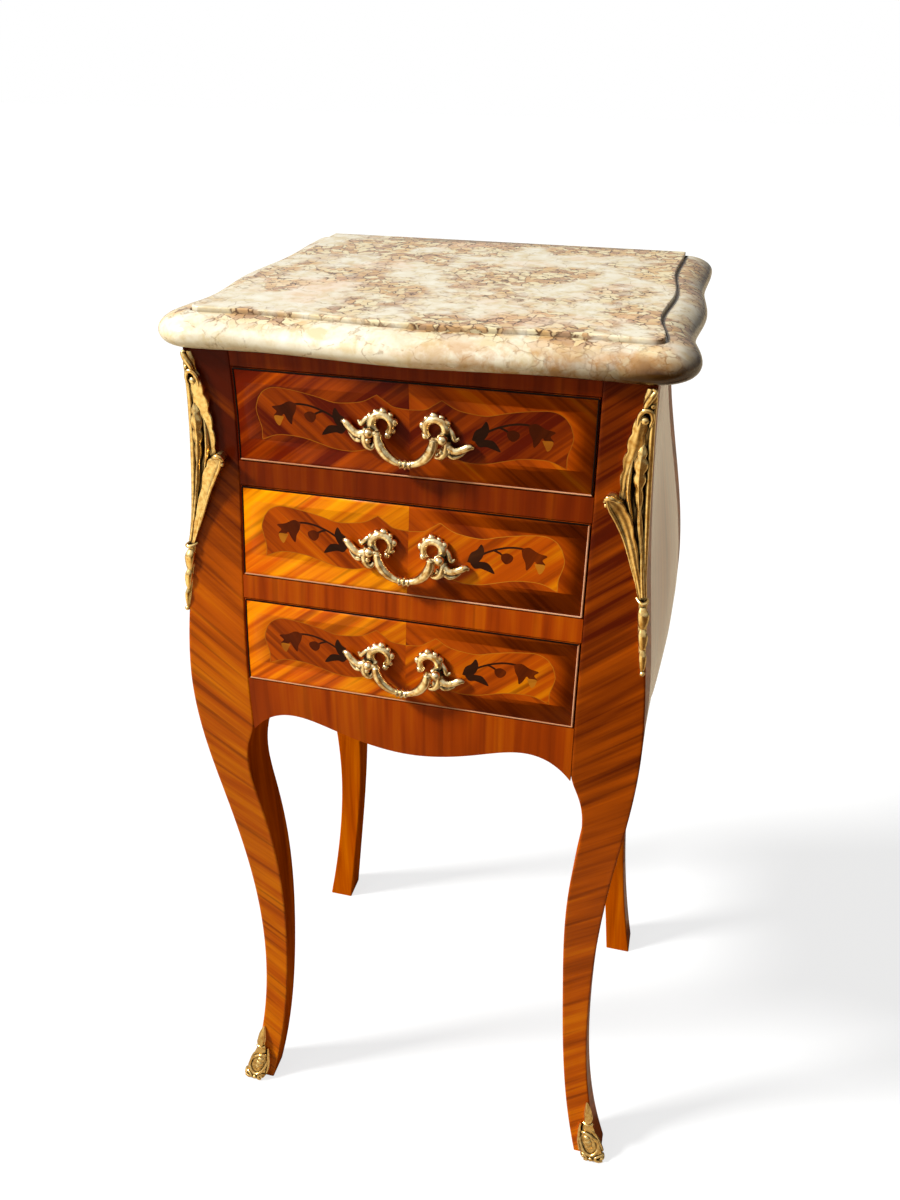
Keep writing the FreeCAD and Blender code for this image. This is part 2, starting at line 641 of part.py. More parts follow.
class Handle:
    """Drop handle: two scrolled plates with knuckles and shanks, a bail on pins, and two nuts."""

    def __init__(self, height, wood_back):
        self.height = height
        self.wood_back = wood_back
        self.surface = front_at(height)
        span = BAIL_HALF_WIDTH
        lean = front_at(height + span) - front_at(height - span)
        self.tilt = math.degrees(math.atan2(lean, 2 * span))
        self.base = Vector(0, self.surface, height)
        turn = FreeCAD.Rotation(Vector(1, 0, 0), -self.tilt)
        self.pivot = self.base + turn.multVec(Vector(0, -BAIL_STANDOFF, 0))
        self.knuckle_start = BAIL_HALF_WIDTH + BAIL_RADIUS + KNUCKLE_GAP
        self.shank_x = self.knuckle_start + KNUCKLE_WIDTH / 2

    def leaf(self):
        """Rocaille body and outward leaf of the right-hand plate."""
        points = [Vector(x, self.surface - PLATE_THICKNESS, self.height + z) for x, z in LEAF_OUTLINE]
        return polygon(points).extrude(Vector(0, PLATE_THICKNESS + PLATE_SEAT, 0))

    def scroll(self):
        """Ring round the end of the bail."""
        start = Vector(SCROLL_FROM_MIDDLE, self.surface - SCROLL_HEIGHT, self.height + SCROLL_LIFT)
        along = Vector(0, SCROLL_HEIGHT + PLATE_SEAT, 0)
        outside = prism(start, SCROLL_RADIUS + SCROLL_WIDTH / 2, along, SCROLL_SIDES)
        return outside.cut(prism(start, SCROLL_RADIUS - SCROLL_WIDTH / 2, along, SCROLL_SIDES))

    def plate(self, blank_front):
        """Right-hand plate, seated on the wood, with its shank through it."""
        front = self.surface - BAIL_STANDOFF
        knuckle_end = Vector(self.shank_x, front - KNUCKLE_END, self.height)
        knuckle = prism(knuckle_end, KNUCKLE_WIDTH / 2, Vector(0, BAIL_STANDOFF + KNUCKLE_END, 0))
        pin_hole = rod(
            Vector(self.knuckle_start - KNUCKLE_GAP, front, self.height),
            Vector(self.knuckle_start + PIN_LENGTH, front, self.height),
            PIN_RADIUS + PIN_CLEARANCE,
        )
        metal = self.leaf().fuse([self.scroll(), knuckle]).cut(pin_hole)
        leaned = metal.rotated(self.base, Vector(1, 0, 0), -self.tilt).cut(blank_front)
        return largest_solid(leaned).fuse(self.shank(SHANK_RADIUS, self.nut_rear() + NUT_FREE_END))

    def shank(self, radius, rear):
        """Bar with flats from the right-hand plate through the drawer front."""
        front = self.surface - PLATE_THICKNESS / 2
        return prism(Vector(self.shank_x, front, self.height), radius, Vector(0, rear - front, 0))

    def nut_rear(self):
        return self.wood_back + NUT_THICKNESS

    def shank_hole(self):
        return self.shank(SHANK_RADIUS + SHANK_CLEARANCE, self.nut_rear() + 2 * NUT_FREE_END)

    def nuts(self):
        """Square nuts on the inside of the drawer front."""
        x0 = self.shank_x - NUT_WIDTH / 2
        z0 = self.height - NUT_WIDTH / 2
        nut = block(x0, x0 + NUT_WIDTH, self.wood_back, self.nut_rear(), z0, z0 + NUT_WIDTH)
        return Part.makeCompound(both_sides(nut.cut(self.shank_hole())))

    def bail(self):
        """Hanging loop with a bead at its middle and a pin on each end."""
        pivot = self.pivot
        low = pivot.z - BAIL_STRAIGHT
        up = Vector(0, 0, 1)
        turn_start = Vector(BAIL_HALF_WIDTH, pivot.y, low)
        section = [point - turn_start for point in regular_points(turn_start, BAIL_RADIUS, up)]
        outlines = []
        for step in range(BAIL_TURN_STEPS + 1):
            turn = FreeCAD.Rotation(Vector(0, 1, 0), 180 * step / BAIL_TURN_STEPS)
            arm = turn.multVec(Vector(BAIL_HALF_WIDTH, 0, 0))
            outlines.append([Vector(0, pivot.y, low) + arm + turn.multVec(point) for point in section])
        loop = flat_sided(outlines, twisted=True)
        limb = prism(turn_start, BAIL_RADIUS, up * (BAIL_STRAIGHT + BAIL_END))
        pin_start = Vector(BAIL_HALF_WIDTH, pivot.y, pivot.z)
        pin_end = Vector(self.knuckle_start + PIN_LENGTH - KNUCKLE_GAP, pivot.y, pivot.z)
        pin = rod(pin_start, pin_end, PIN_RADIUS)
        bead_start = Vector(-BAIL_BEAD_LENGTH / 2, pivot.y, low - BAIL_HALF_WIDTH)
        bead = prism(bead_start, BAIL_BEAD_RADIUS, Vector(BAIL_BEAD_LENGTH, 0, 0))
        return loop.fuse([bead] + both_sides(limb.fuse(pin))).removeSplitter()


# Leaf of a handle's right-hand plate, across and up from the middle of the bail's pivots
LEAF_OUTLINE = [
    (25.5, 4.0),
    (29.0, -1.0),
    (33.5, -2.5),
    (38.0, -0.5),
    (43.0, -2.0),
    (39.0, -6.0),
    (34.0, -9.0),
    (31.0, -13.5),
    (27.0, -17.0),
    (22.5, -16.0),
    (20.0, -11.0),
    (19.0, -4.0),
]


def mount_section(z, reach, bulk):
    """Level cut through a casting on the right-hand front corner: thin wings, swollen on the arris."""
    corner = Vector(side_at(z), front_at(z), z)
    slope = bulk - MOUNT_EDGE
    crest = reach * MOUNT_CREST
    chamfer = bulk * MOUNT_CHAMFER
    wing = [
        (-reach, MOUNT_SEAT),
        (-reach, -MOUNT_EDGE),
        (-crest - slope, -MOUNT_EDGE),
        (-crest, -bulk),
        (chamfer, -bulk),
    ]
    other_wing = [(-y, -x) for x, y in wing[::-1]]
    inside = [(-MOUNT_SEAT, MOUNT_SEAT)]
    return [corner + Vector(x, y, 0) for x, y in wing + other_wing + inside]


def mount_leaf():
    """Leaf that leaves the corner and curls on to the front, as a thick blade."""
    z = CASE_TOP - LEAF_DROP
    x = side_at(z)
    outline = [
        (0.0, 1.0),
        (0.35, 0.55),
        (0.7, 0.28),
        (1.0, 0.0),
        (0.85, -0.25),
        (0.6, -0.6),
        (0.3, -1.1),
        (0.0, -1.6),
    ]
    front = front_at(z) - LEAF_THICKNESS
    points = [Vector(x - LEAF_REACH * across, front, z + LEAF_REACH * up) for across, up in outline]
    return polygon(points).extrude(Vector(0, LEAF_THICKNESS + MOUNT_SEAT, 0))


# Corner mount in runs from the top down: drop from the case top, reach on each face, bulk on the corner
MOUNT_BUD = [(0.0, 4.0, 3.0), (8.0, 8.5, 6.5), (16.0, 5.0, 4.0)]
MOUNT_CABOCHON = [(15.0, 5.0, 4.0), (20.5, 11.5, 8.0), (26.0, 8.0, 5.0)]
MOUNT_LEAF_BODY = [
    (26.0, 8.0, 5.0),
    (49.0, 14.5, 7.0),
    (72.0, 14.0, 7.0),
    (95.0, 10.5, 6.0),
    (118.0, 8.0, 5.0),
    (141.0, 7.0, 4.5),
    (164.0, 6.0, 4.0),
]
MOUNT_TIP = (3.0, 2.0)
MOUNT_BAND = [(134.0, 8.5, 6.0), (138.0, 9.0, 6.8), (142.0, 8.5, 6.0)]

# Shoe from the floor up: share of its height, share of its reach, share of its thickness
SHOE_FORM = [
    (0.0, 1.0, 1.0),
    (0.3, 0.9, 0.95),
    (0.55, 0.7, 0.85),
    (0.75, 0.4, 0.7),
    (1.0, 0.14, 0.4),
]


def mount_run(form):
    """One run of the corner casting."""
    sections = [mount_section(CASE_TOP - drop, reach, bulk) for drop, reach, bulk in form]
    return flat_sided(sections)


def corner_mount(leg):
    """Right-hand corner casting, cut to sit on the post."""
    husk = [MOUNT_LEAF_BODY[-1], (MOUNT_HEIGHT,) + MOUNT_TIP]
    runs = [mount_run(form) for form in (MOUNT_BUD, MOUNT_CABOCHON, MOUNT_BAND, husk)]
    body = mount_run(MOUNT_LEAF_BODY)
    return body.fuse(runs + [mount_leaf()]).cut(leg)


def shoe(leg):
    """Right-hand front shoe, cut to sit on the foot."""
    sections = []
    for share, reach, bulk in SHOE_FORM:
        z = share * SHOE_HEIGHT
        sections.append(mount_section(z, reach * SHOE_REACH, bulk * SHOE_THICKNESS))
    return flat_sided(sections).cut(leg)


def largest_solid(shape):
    """The main solid of a cut, without loose crumbs."""
    return max(shape.Solids, key=lambda solid: solid.Volume)


# Build
FRONT_BODY = front_body()
RAIL_SPANS = {
    "top_rail_front": (CASE_TOP - TOP_RAIL_HEIGHT, CASE_TOP),
    "drawer_rail_upper": (OPENING_BOTTOM[0] - RAIL_HEIGHT, OPENING_BOTTOM[0]),
    "drawer_rail_lower": (OPENING_BOTTOM[1] - RAIL_HEIGHT, OPENING_BOTTOM[1]),
}
BOTTOM_RAIL = (UNDERFRAME_HEIGHT - RAIL_HEIGHT, UNDERFRAME_HEIGHT)
BACK_TOP = (CASE_TOP - BACK_RAIL_HEIGHT, CASE_TOP)
BACK_BOTTOM = (UNDERFRAME_HEIGHT - RUNNER_THICKNESS - BACK_RAIL_HEIGHT, UNDERFRAME_HEIGHT - RUNNER_THICKNESS)

front_mortises = [rail_tenon(z0, z1) for z0, z1 in list(RAIL_SPANS.values()) + [BOTTOM_RAIL]]
front_cuts = front_mortises + [apron_tenon(), panel_tongues()[0]]
solid_front_leg = leg_front_view(0, 0).common(front_leg_side_view())
front_leg = solid_front_leg.cut(front_cuts)
back_cuts = [back_rail_tenon(*BACK_TOP), back_rail_tenon(*BACK_BOTTOM), back_panel(), panel_tongues()[1]]
back_leg = leg_front_view(1, BACK_SOLE_SETBACK).common(back_leg_side_view()).cut(back_cuts)
mount = largest_solid(corner_mount(solid_front_leg))
foot_shoe = largest_solid(shoe(solid_front_leg))
panel = side_panel()

pieces = {
    "marble_top": marble_top(),
    "leg_front_right": front_leg,
    "leg_front_left": mirrored(front_leg),
    "leg_back_right": back_leg,
    "leg_back_left": mirrored(back_leg),
    "side_panel_right": panel,
    "side_panel_left": mirrored(panel),
    "back_panel": back_panel(),
    "front_apron": front_apron(),
    "bottom_rail_front": front_rail(*BOTTOM_RAIL, apron_back()),
    "top_rail_back": back_rail(*BACK_TOP),
    "bottom_rail_back": back_rail(*BACK_BOTTOM),
    "bottom_board": bottom_board(),
    "drawer_kickers": kicker_pair(),
    "corner_mount_right": mount,
    "corner_mount_left": mirrored(mount),
    "shoe_right": foot_shoe,
    "shoe_left": mirrored(foot_shoe),
}
for name, span in RAIL_SPANS.items():
    pieces[name] = front_rail(*span)

drawers = [Drawer(row) for row in range(len(ROWS))]
stops = []
for name, drawer, bottom in zip(ROWS, drawers, OPENING_BOTTOM):
    stops += drawer.stops()
    pieces[f"drawer_runners_{name}"] = runner_pair(bottom)
    pieces[f"drawer_{name}_front"] = drawer.front()
    pieces[f"drawer_{name}_side_right"] = drawer.side()
    pieces[f"drawer_{name}_side_left"] = mirrored(drawer.side())
    pieces[f"drawer_{name}_back"] = drawer.back()
    pieces[f"drawer_{name}_bottom"] = drawer.bottom()
    plate = drawer.handle.plate(drawer.blank_front())
    pieces[f"handle_{name}_plate_right"] = plate
    pieces[f"handle_{name}_plate_left"] = mirrored(plate)
    pieces[f"handle_{name}_bail"] = drawer.handle.bail()
    pieces[f"handle_{name}_nuts"] = drawer.handle.nuts()
pieces["drawer_stops"] = Part.makeCompound(stops)

box = Part.makeCompound(list(pieces.values())).optimalBoundingBox(False, False)
SHIFT = Vector(-box.Center.x, -box.Center.y, -box.ZMin)

os.makedirs("parts", exist_ok=True)
for name, shape in pieces.items():
    placed = shape.translated(SHIFT)
    placed.exportStep(f"parts/{name}.step")
    print(name, len(placed.Solids), "valid" if placed.isValid() else "NOT VALID", round(placed.Volume))
print("box", [round(v, 2) for v in (box.XLength, box.YLength, box.ZLength)], "moved by", round(SHIFT.y, 3))
for name, drawer in zip(ROWS, drawers):
    print(name, "pivot", drawer.handle.pivot + SHIFT, "front's back", round(drawer.front_back + SHIFT.y, 3))
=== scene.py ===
"""Looks of a small marquetry nightstand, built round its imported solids."""

import json
import logging
import math
from dataclasses import dataclass, replace
from enum import Enum
from typing import Iterable, Sequence

import bmesh
import bpy
import numpy as np
from mathutils import Matrix, Vector, geometry
from mathutils.bvhtree import BVHTree


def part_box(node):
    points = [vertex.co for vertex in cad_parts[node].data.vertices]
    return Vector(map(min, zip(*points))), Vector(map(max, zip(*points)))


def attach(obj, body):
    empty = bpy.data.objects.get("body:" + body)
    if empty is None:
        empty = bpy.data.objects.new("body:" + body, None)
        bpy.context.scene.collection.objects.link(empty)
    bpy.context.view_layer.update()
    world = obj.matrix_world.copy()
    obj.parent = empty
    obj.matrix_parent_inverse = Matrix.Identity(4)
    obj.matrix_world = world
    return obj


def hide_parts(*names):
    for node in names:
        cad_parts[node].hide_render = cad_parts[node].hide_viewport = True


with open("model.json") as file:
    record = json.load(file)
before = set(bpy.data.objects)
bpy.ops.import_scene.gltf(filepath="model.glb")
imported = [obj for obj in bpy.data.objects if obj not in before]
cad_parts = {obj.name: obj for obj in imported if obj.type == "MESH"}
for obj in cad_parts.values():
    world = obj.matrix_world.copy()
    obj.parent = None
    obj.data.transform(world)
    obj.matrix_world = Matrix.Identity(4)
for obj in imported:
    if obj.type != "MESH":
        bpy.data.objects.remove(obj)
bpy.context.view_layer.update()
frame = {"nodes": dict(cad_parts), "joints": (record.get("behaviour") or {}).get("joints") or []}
LOG = logging.getLogger("nightstand")
MM = 0.001
SIDES = ("right", "left")
SMOOTH_ANGLE = math.radians(38)
# Steps round a softened edge, in degrees
QUARTER = np.array((0, 30, 60, 90))
# How far each corner mount's tail turns round the corner, in millimetres
TAIL_OUT = {"right": 0.0, "left": 4.0}
# How far inside a solid's ends its first and last cuts lie, in metres
CUT_EDGE = 2e-5
# Painted light on each drawer's border and field, left and right: painted shadow of the marble's overhang
# darkens the upper drawer, painted sheen of the book-matched veneer lightens some halves and darkens others
DRAWER_PAINTED_LIGHT = {
    "upper": ((-0.24, -0.06), (-0.18, -0.23)),
    "middle": ((0.1, -0.12), (-0.09, 0.02)),
    "lower": ((0.06, -0.08), (-0.1, -0.01)),
}

Points = np.ndarray
Faces = list[tuple[int, ...]]
Shape = tuple[Points, Faces]
Place = tuple[float, float, float]
Limits = tuple[float, float]
Stops = Sequence[tuple[float, str]]
Tree = bpy.types.NodeTree
Socket = bpy.types.NodeSocket
Material = bpy.types.Material


def linear(colour: str) -> tuple[float, float, float, float]:
    """Turns an sRGB hex colour into a linear one.

    Args:
        colour: Six hex digits after a hash sign.
    Returns:
        Red, green, blue and alpha, linear.
    """
    parts = [int(colour[i : i + 2], 16) / 255 for i in (1, 3, 5)]
    low = [value / 12.92 for value in parts]
    high = [((value + 0.055) / 1.055) ** 2.4 for value in parts]
    return tuple(a if value <= 0.04045 else b for value, a, b in zip(parts, low, high)) + (1.0,)


def fill(tree: Tree, node: bpy.types.Node, inputs: dict | Sequence) -> None:
    """Sets or links a node's inputs.

    Args:
        tree: The node's tree.
        node: The node.
        inputs: Values, or sockets to link, by input name or in the order of the inputs.
    """
    pairs = inputs.items() if isinstance(inputs, dict) else enumerate(inputs)
    for key, value in pairs:
        if isinstance(value, Socket):
            tree.links.new(value, node.inputs[key])
        else:
            node.inputs[key].default_value = value


def add_node(
    tree: Tree, kind: str, inputs: dict | Sequence = (), stops: Stops = (), **settings: object
) -> bpy.types.NodeOutputs:
    """Adds a node with its settings and links.

    Args:
        tree: Tree that gets the node.
        kind: The node's type.
        inputs: Values, or sockets to link, by input name or in the order of the inputs.
        stops: Places and hex colours of a colour ramp, in rising order.
        settings: Properties by name.
    Returns:
        The node's outputs.
    """
    node = tree.nodes.new(kind)
    for name, value in settings.items():
        setattr(node, name, value)
    fill(tree, node, inputs)
    if stops:
        elements = node.color_ramp.elements
        while len(elements) < len(stops):
            elements.new(0.5)
        for element, (place, colour) in zip(elements, stops):
            element.position = place
            element.color = linear(colour)
    return node.outputs


def new_material(name: str) -> tuple[Material, Tree]:
    """Makes an empty material.

    Args:
        name: The material's name.
    Returns:
        The material and its tree.
    """
    material = bpy.data.materials.new(name)
    material.use_nodes = True
    return material, material.node_tree


class Grain(Enum):
    """Where a wood's grain runs: by the piece's own map, or along one axis and across another."""

    MAPPED = ("", "")
    UPRIGHT_ON_FRONT = ("Z", "X")
    UPRIGHT_ON_SIDE = ("Z", "Y")
    ALONG_WIDTH = ("X", "Z")
    ALONG_DEPTH = ("Y", "Z")


@dataclass(frozen=True)
class GrainLayer:
    """One layer of a wood's figure: size along, across and through in millimetres, and finer noise."""

    size_mm: Place
    detail: float
    rough: float


@dataclass(frozen=True)
class WoodFinish:
    """A planed or polished wood: its colours, its gloss and the layers of its figure."""

    name: str
    dark: str
    middle: str
    light: str
    line: str
    figure: float = 1.0
    line_strength: float = 0.45
    roughness: float = 0.34
    polish: float = 0.02
    shine: float = 0.05
    coat_roughness: float = 0.12
    bands: GrainLayer = GrainLayer((150.0, 12.0, 60.0), 2.0, 0.5)
    streaks: GrainLayer = GrainLayer((120.0, 2.2, 40.0), 3.0, 0.6)
    lines: GrainLayer = GrainLayer((170.0, 4.84, 60.0), 1.0, 0.4)
    wobble: float = 0.3
    band_share: float = 0.74
    darker: float = 0.28
    lighter: float = 0.32
    line_limits: Limits = (0.57, 0.69)
    pore_depth_mm: float = 0.2
    pore_strength: float = 0.05

    def material(self, grain: Grain) -> Material:
        """Builds the wood with its grain along one direction.

        Args:
            grain: How the grain lies on the pieces that get it.
        Returns:
            The material.
        """
        material, tree = new_material(f"{self.name}_{grain.name.lower()}")
        if grain is Grain.MAPPED:
            lie = add_node(tree, "ShaderNodeUVMap", uv_map="grain")["UV"]
        else:
            place = add_node(tree, "ShaderNodeTexCoord")["Object"]
            axes = add_node(tree, "ShaderNodeSeparateXYZ", [place])
            along, across = grain.value
            third = ({"X", "Y", "Z"} - {along, across}).pop()
            parts = [axes[letter] for letter in (along, across, third)]
            lie = add_node(tree, "ShaderNodeCombineXYZ", parts)[0]
        layers = (self.bands, self.streaks, self.lines)
        bands, streaks, lines = (self.stretched(tree, lie, layer) for layer in layers)
        # Painted light and shade that the legs and drawer fronts carry face by face, added to the figure
        lit_figure = add_node(tree, "ShaderNodeAttribute", attribute_name="painted_light")["Fac"]
        for pattern, share in ((bands, self.band_share), (streaks, 1 - self.band_share)):
            parts = (pattern, share * self.figure, lit_figure)
            lit_figure = add_node(tree, "ShaderNodeMath", parts, operation="MULTIPLY_ADD")[0]
        mean = self.figure / 2
        stops = [(mean - self.darker, self.dark), (mean, self.middle), (mean + self.lighter, self.light)]
        colour = add_node(tree, "ShaderNodeValToRGB", [lit_figure], stops)["Color"]
        mask = add_node(tree, "ShaderNodeMapRange", (lines, *self.line_limits, 0.0, self.line_strength))[0]
        parts = {"Factor": mask, "A": colour, "B": linear(self.line)}
        lined = add_node(tree, "ShaderNodeMix", parts, data_type="RGBA")["Result"]
        pores = {"Strength": self.pore_strength, "Distance": self.pore_depth_mm * MM, "Height": streaks}
        surface = {
            "Base Color": lined,
            "Normal": add_node(tree, "ShaderNodeBump", pores)["Normal"],
            "Roughness": self.roughness,
            "Specular IOR Level": self.shine,
            "Coat Weight": self.polish,
            "Coat Roughness": self.coat_roughness,
        }
        fill(tree, tree.nodes["Principled BSDF"], surface)
        return material

    def stretched(self, tree: Tree, lie: Socket, layer: GrainLayer) -> Socket:
        """Lays a noise that is drawn out along the grain.

        Args:
            tree: Tree that gets it.
            lie: Coordinates along and across the grain, in metres.
            layer: Its sizes.
        Returns:
            The noise's value.
        """
        scale = tuple(1 / (size * MM) for size in layer.size_mm)
        mapped = add_node(tree, "ShaderNodeMapping", {"Vector": lie, "Scale": scale})[0]
        inputs = {"Vector": mapped, "Scale": 1.0, "Detail": layer.detail, "Roughness": layer.rough}
        return add_node(tree, "ShaderNodeTexNoise", inputs | {"Distortion": self.wobble})[0]


@dataclass(frozen=True)
class StainOrShade:
    """Tint on part of a slab, a stained patch or painted shade: limits in metres between which it fades in,
    and its mottling.
    """

    colour: str
    weight: float
    limits: tuple
    mottle_mm: float = 0.0
    mottle_limits: Limits = (0.4, 0.56)


@dataclass(frozen=True)
class MarbleFinish:
    """Polished breccia: cream ground, patches of tan flakes with fine brown cracks, rose clouds, an
    amber-stained edge and painted shade.
    """

    name: str
    roughness: float = 0.2
    ior: float = 1.49
    detail: float = 4.0
    rough: float = 0.6
    wander_mm: float = 16.0
    wander_detail: float = 5.0
    warp_mm: float = 7.0
    ground_mm: float = 12.0
    ground: Stops = ((0.36, "#CEBC94"), (0.52, "#DAD0B6"), (0.7, "#E2DCC8"))
    flake_mm: float = 6.5
    flakes: Stops = ((0.2, "#DCCA9A"), (0.45, "#CFA868"), (0.7, "#BC8844"), (0.9, "#966432"))
    flake_weight: float = 0.8
    flake_line: str = "#5C3C1E"
    flake_line_width: float = 0.11
    line_core: float = 0.3
    patch_mm: float = 56.0
    patch_limits: Limits = (0.43, 0.54)
    patch_shift_mm: Place = (110, 50, 0)
    flaked_right: Limits = (0.02, 0.19)
    flaked_behind: Limits = (-0.132, -0.12)
    rose: str = "#E2B08A"
    rose_mm: float = 62.0
    rose_limits: Limits = (0.55, 0.68)
    rose_weight: float = 0.35
    crack: str = "#8A6B48"
    crack_mm: float = 30.0
    crack_width: float = 0.02
    crack_weight: float = 0.5
    broken_mm: float = 5.0
    broken_limits: Limits = (0.4, 0.55)
    # Darker colour in the recesses that the patina attribute marks
    recess_colour: str = "#5E482C"
    recess_weight: float = 0.85
    # Painted shade on the right end, a mottled amber stained front edge, and brown painted shade on the front
    # right corner below the tier
    stains_and_shade: tuple = (
        StainOrShade("#5E4214", 0.42, (("X", 0.148, 0.166),)),
        StainOrShade("#B27A34", 0.8, (("X", -0.03, 0.06), ("Y", -0.124, -0.134)), 16.0),
        StainOrShade("#462A08", 1.0, (("X", 0.06, 0.14), ("Y", -0.05, -0.1), ("Z", 0.728, 0.716))),
    )

    def material(self) -> Material:
        """Builds the marble in object space, so that its veins run through the slab.

        Returns:
            The material.
        """
        material, tree = new_material(self.name)
        place = add_node(tree, "ShaderNodeTexCoord")["Object"]
        inputs = {"Vector": place, "Scale": 1 / (self.wander_mm * MM), "Detail": self.wander_detail}
        wander = add_node(tree, "ShaderNodeTexNoise", inputs)["Color"]
        centred = add_node(tree, "ShaderNodeVectorMath", (wander, (0.5, 0.5, 0.5)), operation="SUBTRACT")[0]
        parts = (centred, (2 * self.warp_mm * MM,) * 3, place)
        warped = add_node(tree, "ShaderNodeVectorMath", parts, operation="MULTIPLY_ADD")[0]
        axes = add_node(tree, "ShaderNodeSeparateXYZ", [warped])
        right = add_node(tree, "ShaderNodeMapRange", (axes["X"], *self.flaked_right))[0]
        behind = add_node(tree, "ShaderNodeMapRange", (axes["Y"], *self.flaked_behind))[0]
        flaked = add_node(tree, "ShaderNodeMath", (right, behind), operation="MAXIMUM")[0]
        shift = tuple(value * MM for value in self.patch_shift_mm)
        moved = add_node(tree, "ShaderNodeVectorMath", (place, shift), operation="ADD")[0]
        patches = self.patches(tree, moved, self.patch_mm, self.patch_limits)
        patch = add_node(tree, "ShaderNodeMath", (patches, flaked), operation="MULTIPLY")[0]
        inputs = {"Scale": 1 / (self.ground_mm * MM), "Detail": self.detail, "Roughness": self.rough}
        cloud = add_node(tree, "ShaderNodeTexNoise", inputs | {"Vector": warped})[0]
        colour = add_node(tree, "ShaderNodeValToRGB", [cloud], self.ground)["Color"]
        cells = {"Vector": warped, "Scale": 1 / (self.flake_mm * MM)}
        flake = add_node(tree, "ShaderNodeTexVoronoi", cells)["Color"]
        shade = add_node(tree, "ShaderNodeSeparateXYZ", [flake])[0]
        flakes = add_node(tree, "ShaderNodeValToRGB", [shade], self.flakes)["Color"]
        colour = self.layer(tree, colour, flakes, [patch], self.flake_weight)
        clouds = self.patches(tree, warped, self.rose_mm, self.rose_limits)
        colour = self.layer(tree, colour, linear(self.rose), [clouds], self.rose_weight)
        broken = self.patches(tree, place, self.broken_mm, self.broken_limits)
        lines = self.vein(tree, warped, self.flake_mm, self.flake_line_width)
        colour = self.layer(tree, colour, linear(self.flake_line), [lines, patch, broken], 1.0)
        lines = self.vein(tree, warped, self.crack_mm, self.crack_width)
        colour = self.layer(tree, colour, linear(self.crack), [lines, broken, broken], self.crack_weight)
        # Stained patches and painted shade, each laid as a tint
        for stain_or_shade in self.stains_and_shade:
            masks = []
            for axis, low, high in stain_or_shade.limits:
                masks.append(add_node(tree, "ShaderNodeMapRange", (axes[axis], low, high))[0])
            if stain_or_shade.mottle_mm:
                masks.append(self.patches(tree, warped, stain_or_shade.mottle_mm, stain_or_shade.mottle_limits))
            colour = self.layer(tree, colour, linear(stain_or_shade.colour), masks, stain_or_shade.weight)
        # Darker in the recesses that the patina attribute marks
        recess = add_node(tree, "ShaderNodeAttribute", attribute_name="patina")["Fac"]
        colour = self.layer(tree, colour, linear(self.recess_colour), [recess], self.recess_weight)
        surface = {"Base Color": colour, "Roughness": self.roughness, "IOR": self.ior}
        fill(tree, tree.nodes["Principled BSDF"], surface)
        return material

    def patches(self, tree: Tree, place: Socket, size_mm: float, limits: Limits) -> Socket:
        """Marks the patches where a soft noise passes between two limits.

        Args:
            tree: Tree that gets them.
            place: Coordinates in metres.
            size_mm: Size of the noise.
            limits: Where a patch begins and where it is full.
        Returns:
            1 in the patches, 0 elsewhere.
        """
        inputs = {"Scale": 1 / (size_mm * MM), "Detail": self.detail, "Roughness": self.rough}
        cloud = add_node(tree, "ShaderNodeTexNoise", inputs | {"Vector": place})[0]
        return add_node(tree, "ShaderNodeMapRange", (cloud, *limits))[0]

    def layer(self, tree: Tree, under: Socket, over: object, masks: list[Socket], weight: float) -> Socket:
        """Lays one colour over another where every mask is set.

        Args:
            tree: Tree that gets the layer.
            under: Colour below.
            over: Colour above, as a socket or a linear colour.
            masks: Where the upper colour shows.
            weight: How much of it shows there.
        Returns:
            The mixed colour.
        """
        amount: object = weight
        for mask in masks:
            amount = add_node(tree, "ShaderNodeMath", (mask, amount), operation="MULTIPLY")[0]
        parts = {"Factor": amount, "A": under, "B": over}
        return add_node(tree, "ShaderNodeMix", parts, data_type="RGBA")["Result"]

    def vein(self, tree: Tree, place: Socket, size_mm: float, width: float) -> Socket:
        """Draws thin lines along the cracks between broken pieces.

        Args:
            tree: Tree that gets them.
            place: Coordinates in metres.
            size_mm: Size of the pieces.
            width: Width of a line as a share of that size.
        Returns:
            1 on the lines, 0 elsewhere.
        """
        cells = {"Vector": place, "Scale": 1 / (size_mm * MM), "Randomness": 1.0}
        edge = add_node(tree, "ShaderNodeTexVoronoi", cells, feature="DISTANCE_TO_EDGE")["Distance"]
        return add_node(tree, "ShaderNodeMapRange", (edge, self.line_core * width, width, 1.0, 0.0))[0]


@dataclass(frozen=True)
class BronzeFinish:
    """Cast bronze with worn gilding: bright on the crests, dark patina in the recesses."""

    name: str
    bright: str
    worn: str
    patina: str
    roughness: float
    recess_roughness: float = 0.7
    wear_mm: float = 3.0
    wear_detail: float = 3.0
    wear_limits: Limits = (0.3, 0.58)

    def material(self) -> Material:
        """Builds the metal; its patina follows the attribute of that name.

        Returns:
            The material.
        """
        material, tree = new_material(self.name)
        place = add_node(tree, "ShaderNodeTexCoord")["Object"]
        inputs = {"Vector": place, "Scale": 1 / (self.wear_mm * MM), "Detail": self.wear_detail}
        wear = add_node(tree, "ShaderNodeTexNoise", inputs)[0]
        stops = tuple(zip(self.wear_limits, (self.worn, self.bright)))
        gold = add_node(tree, "ShaderNodeValToRGB", [wear], stops)["Color"]
        recess = add_node(tree, "ShaderNodeAttribute", attribute_name="patina")["Fac"]
        parts = {"Factor": recess, "A": gold, "B": linear(self.patina)}
        rough = (recess, 0.0, 1.0, self.roughness, self.recess_roughness)
        surface = {
            "Base Color": add_node(tree, "ShaderNodeMix", parts, data_type="RGBA")["Result"],
            "Metallic": 1.0,
            "Roughness": add_node(tree, "ShaderNodeMapRange", rough)[0],
        }
        fill(tree, tree.nodes["Principled BSDF"], surface)
        return material


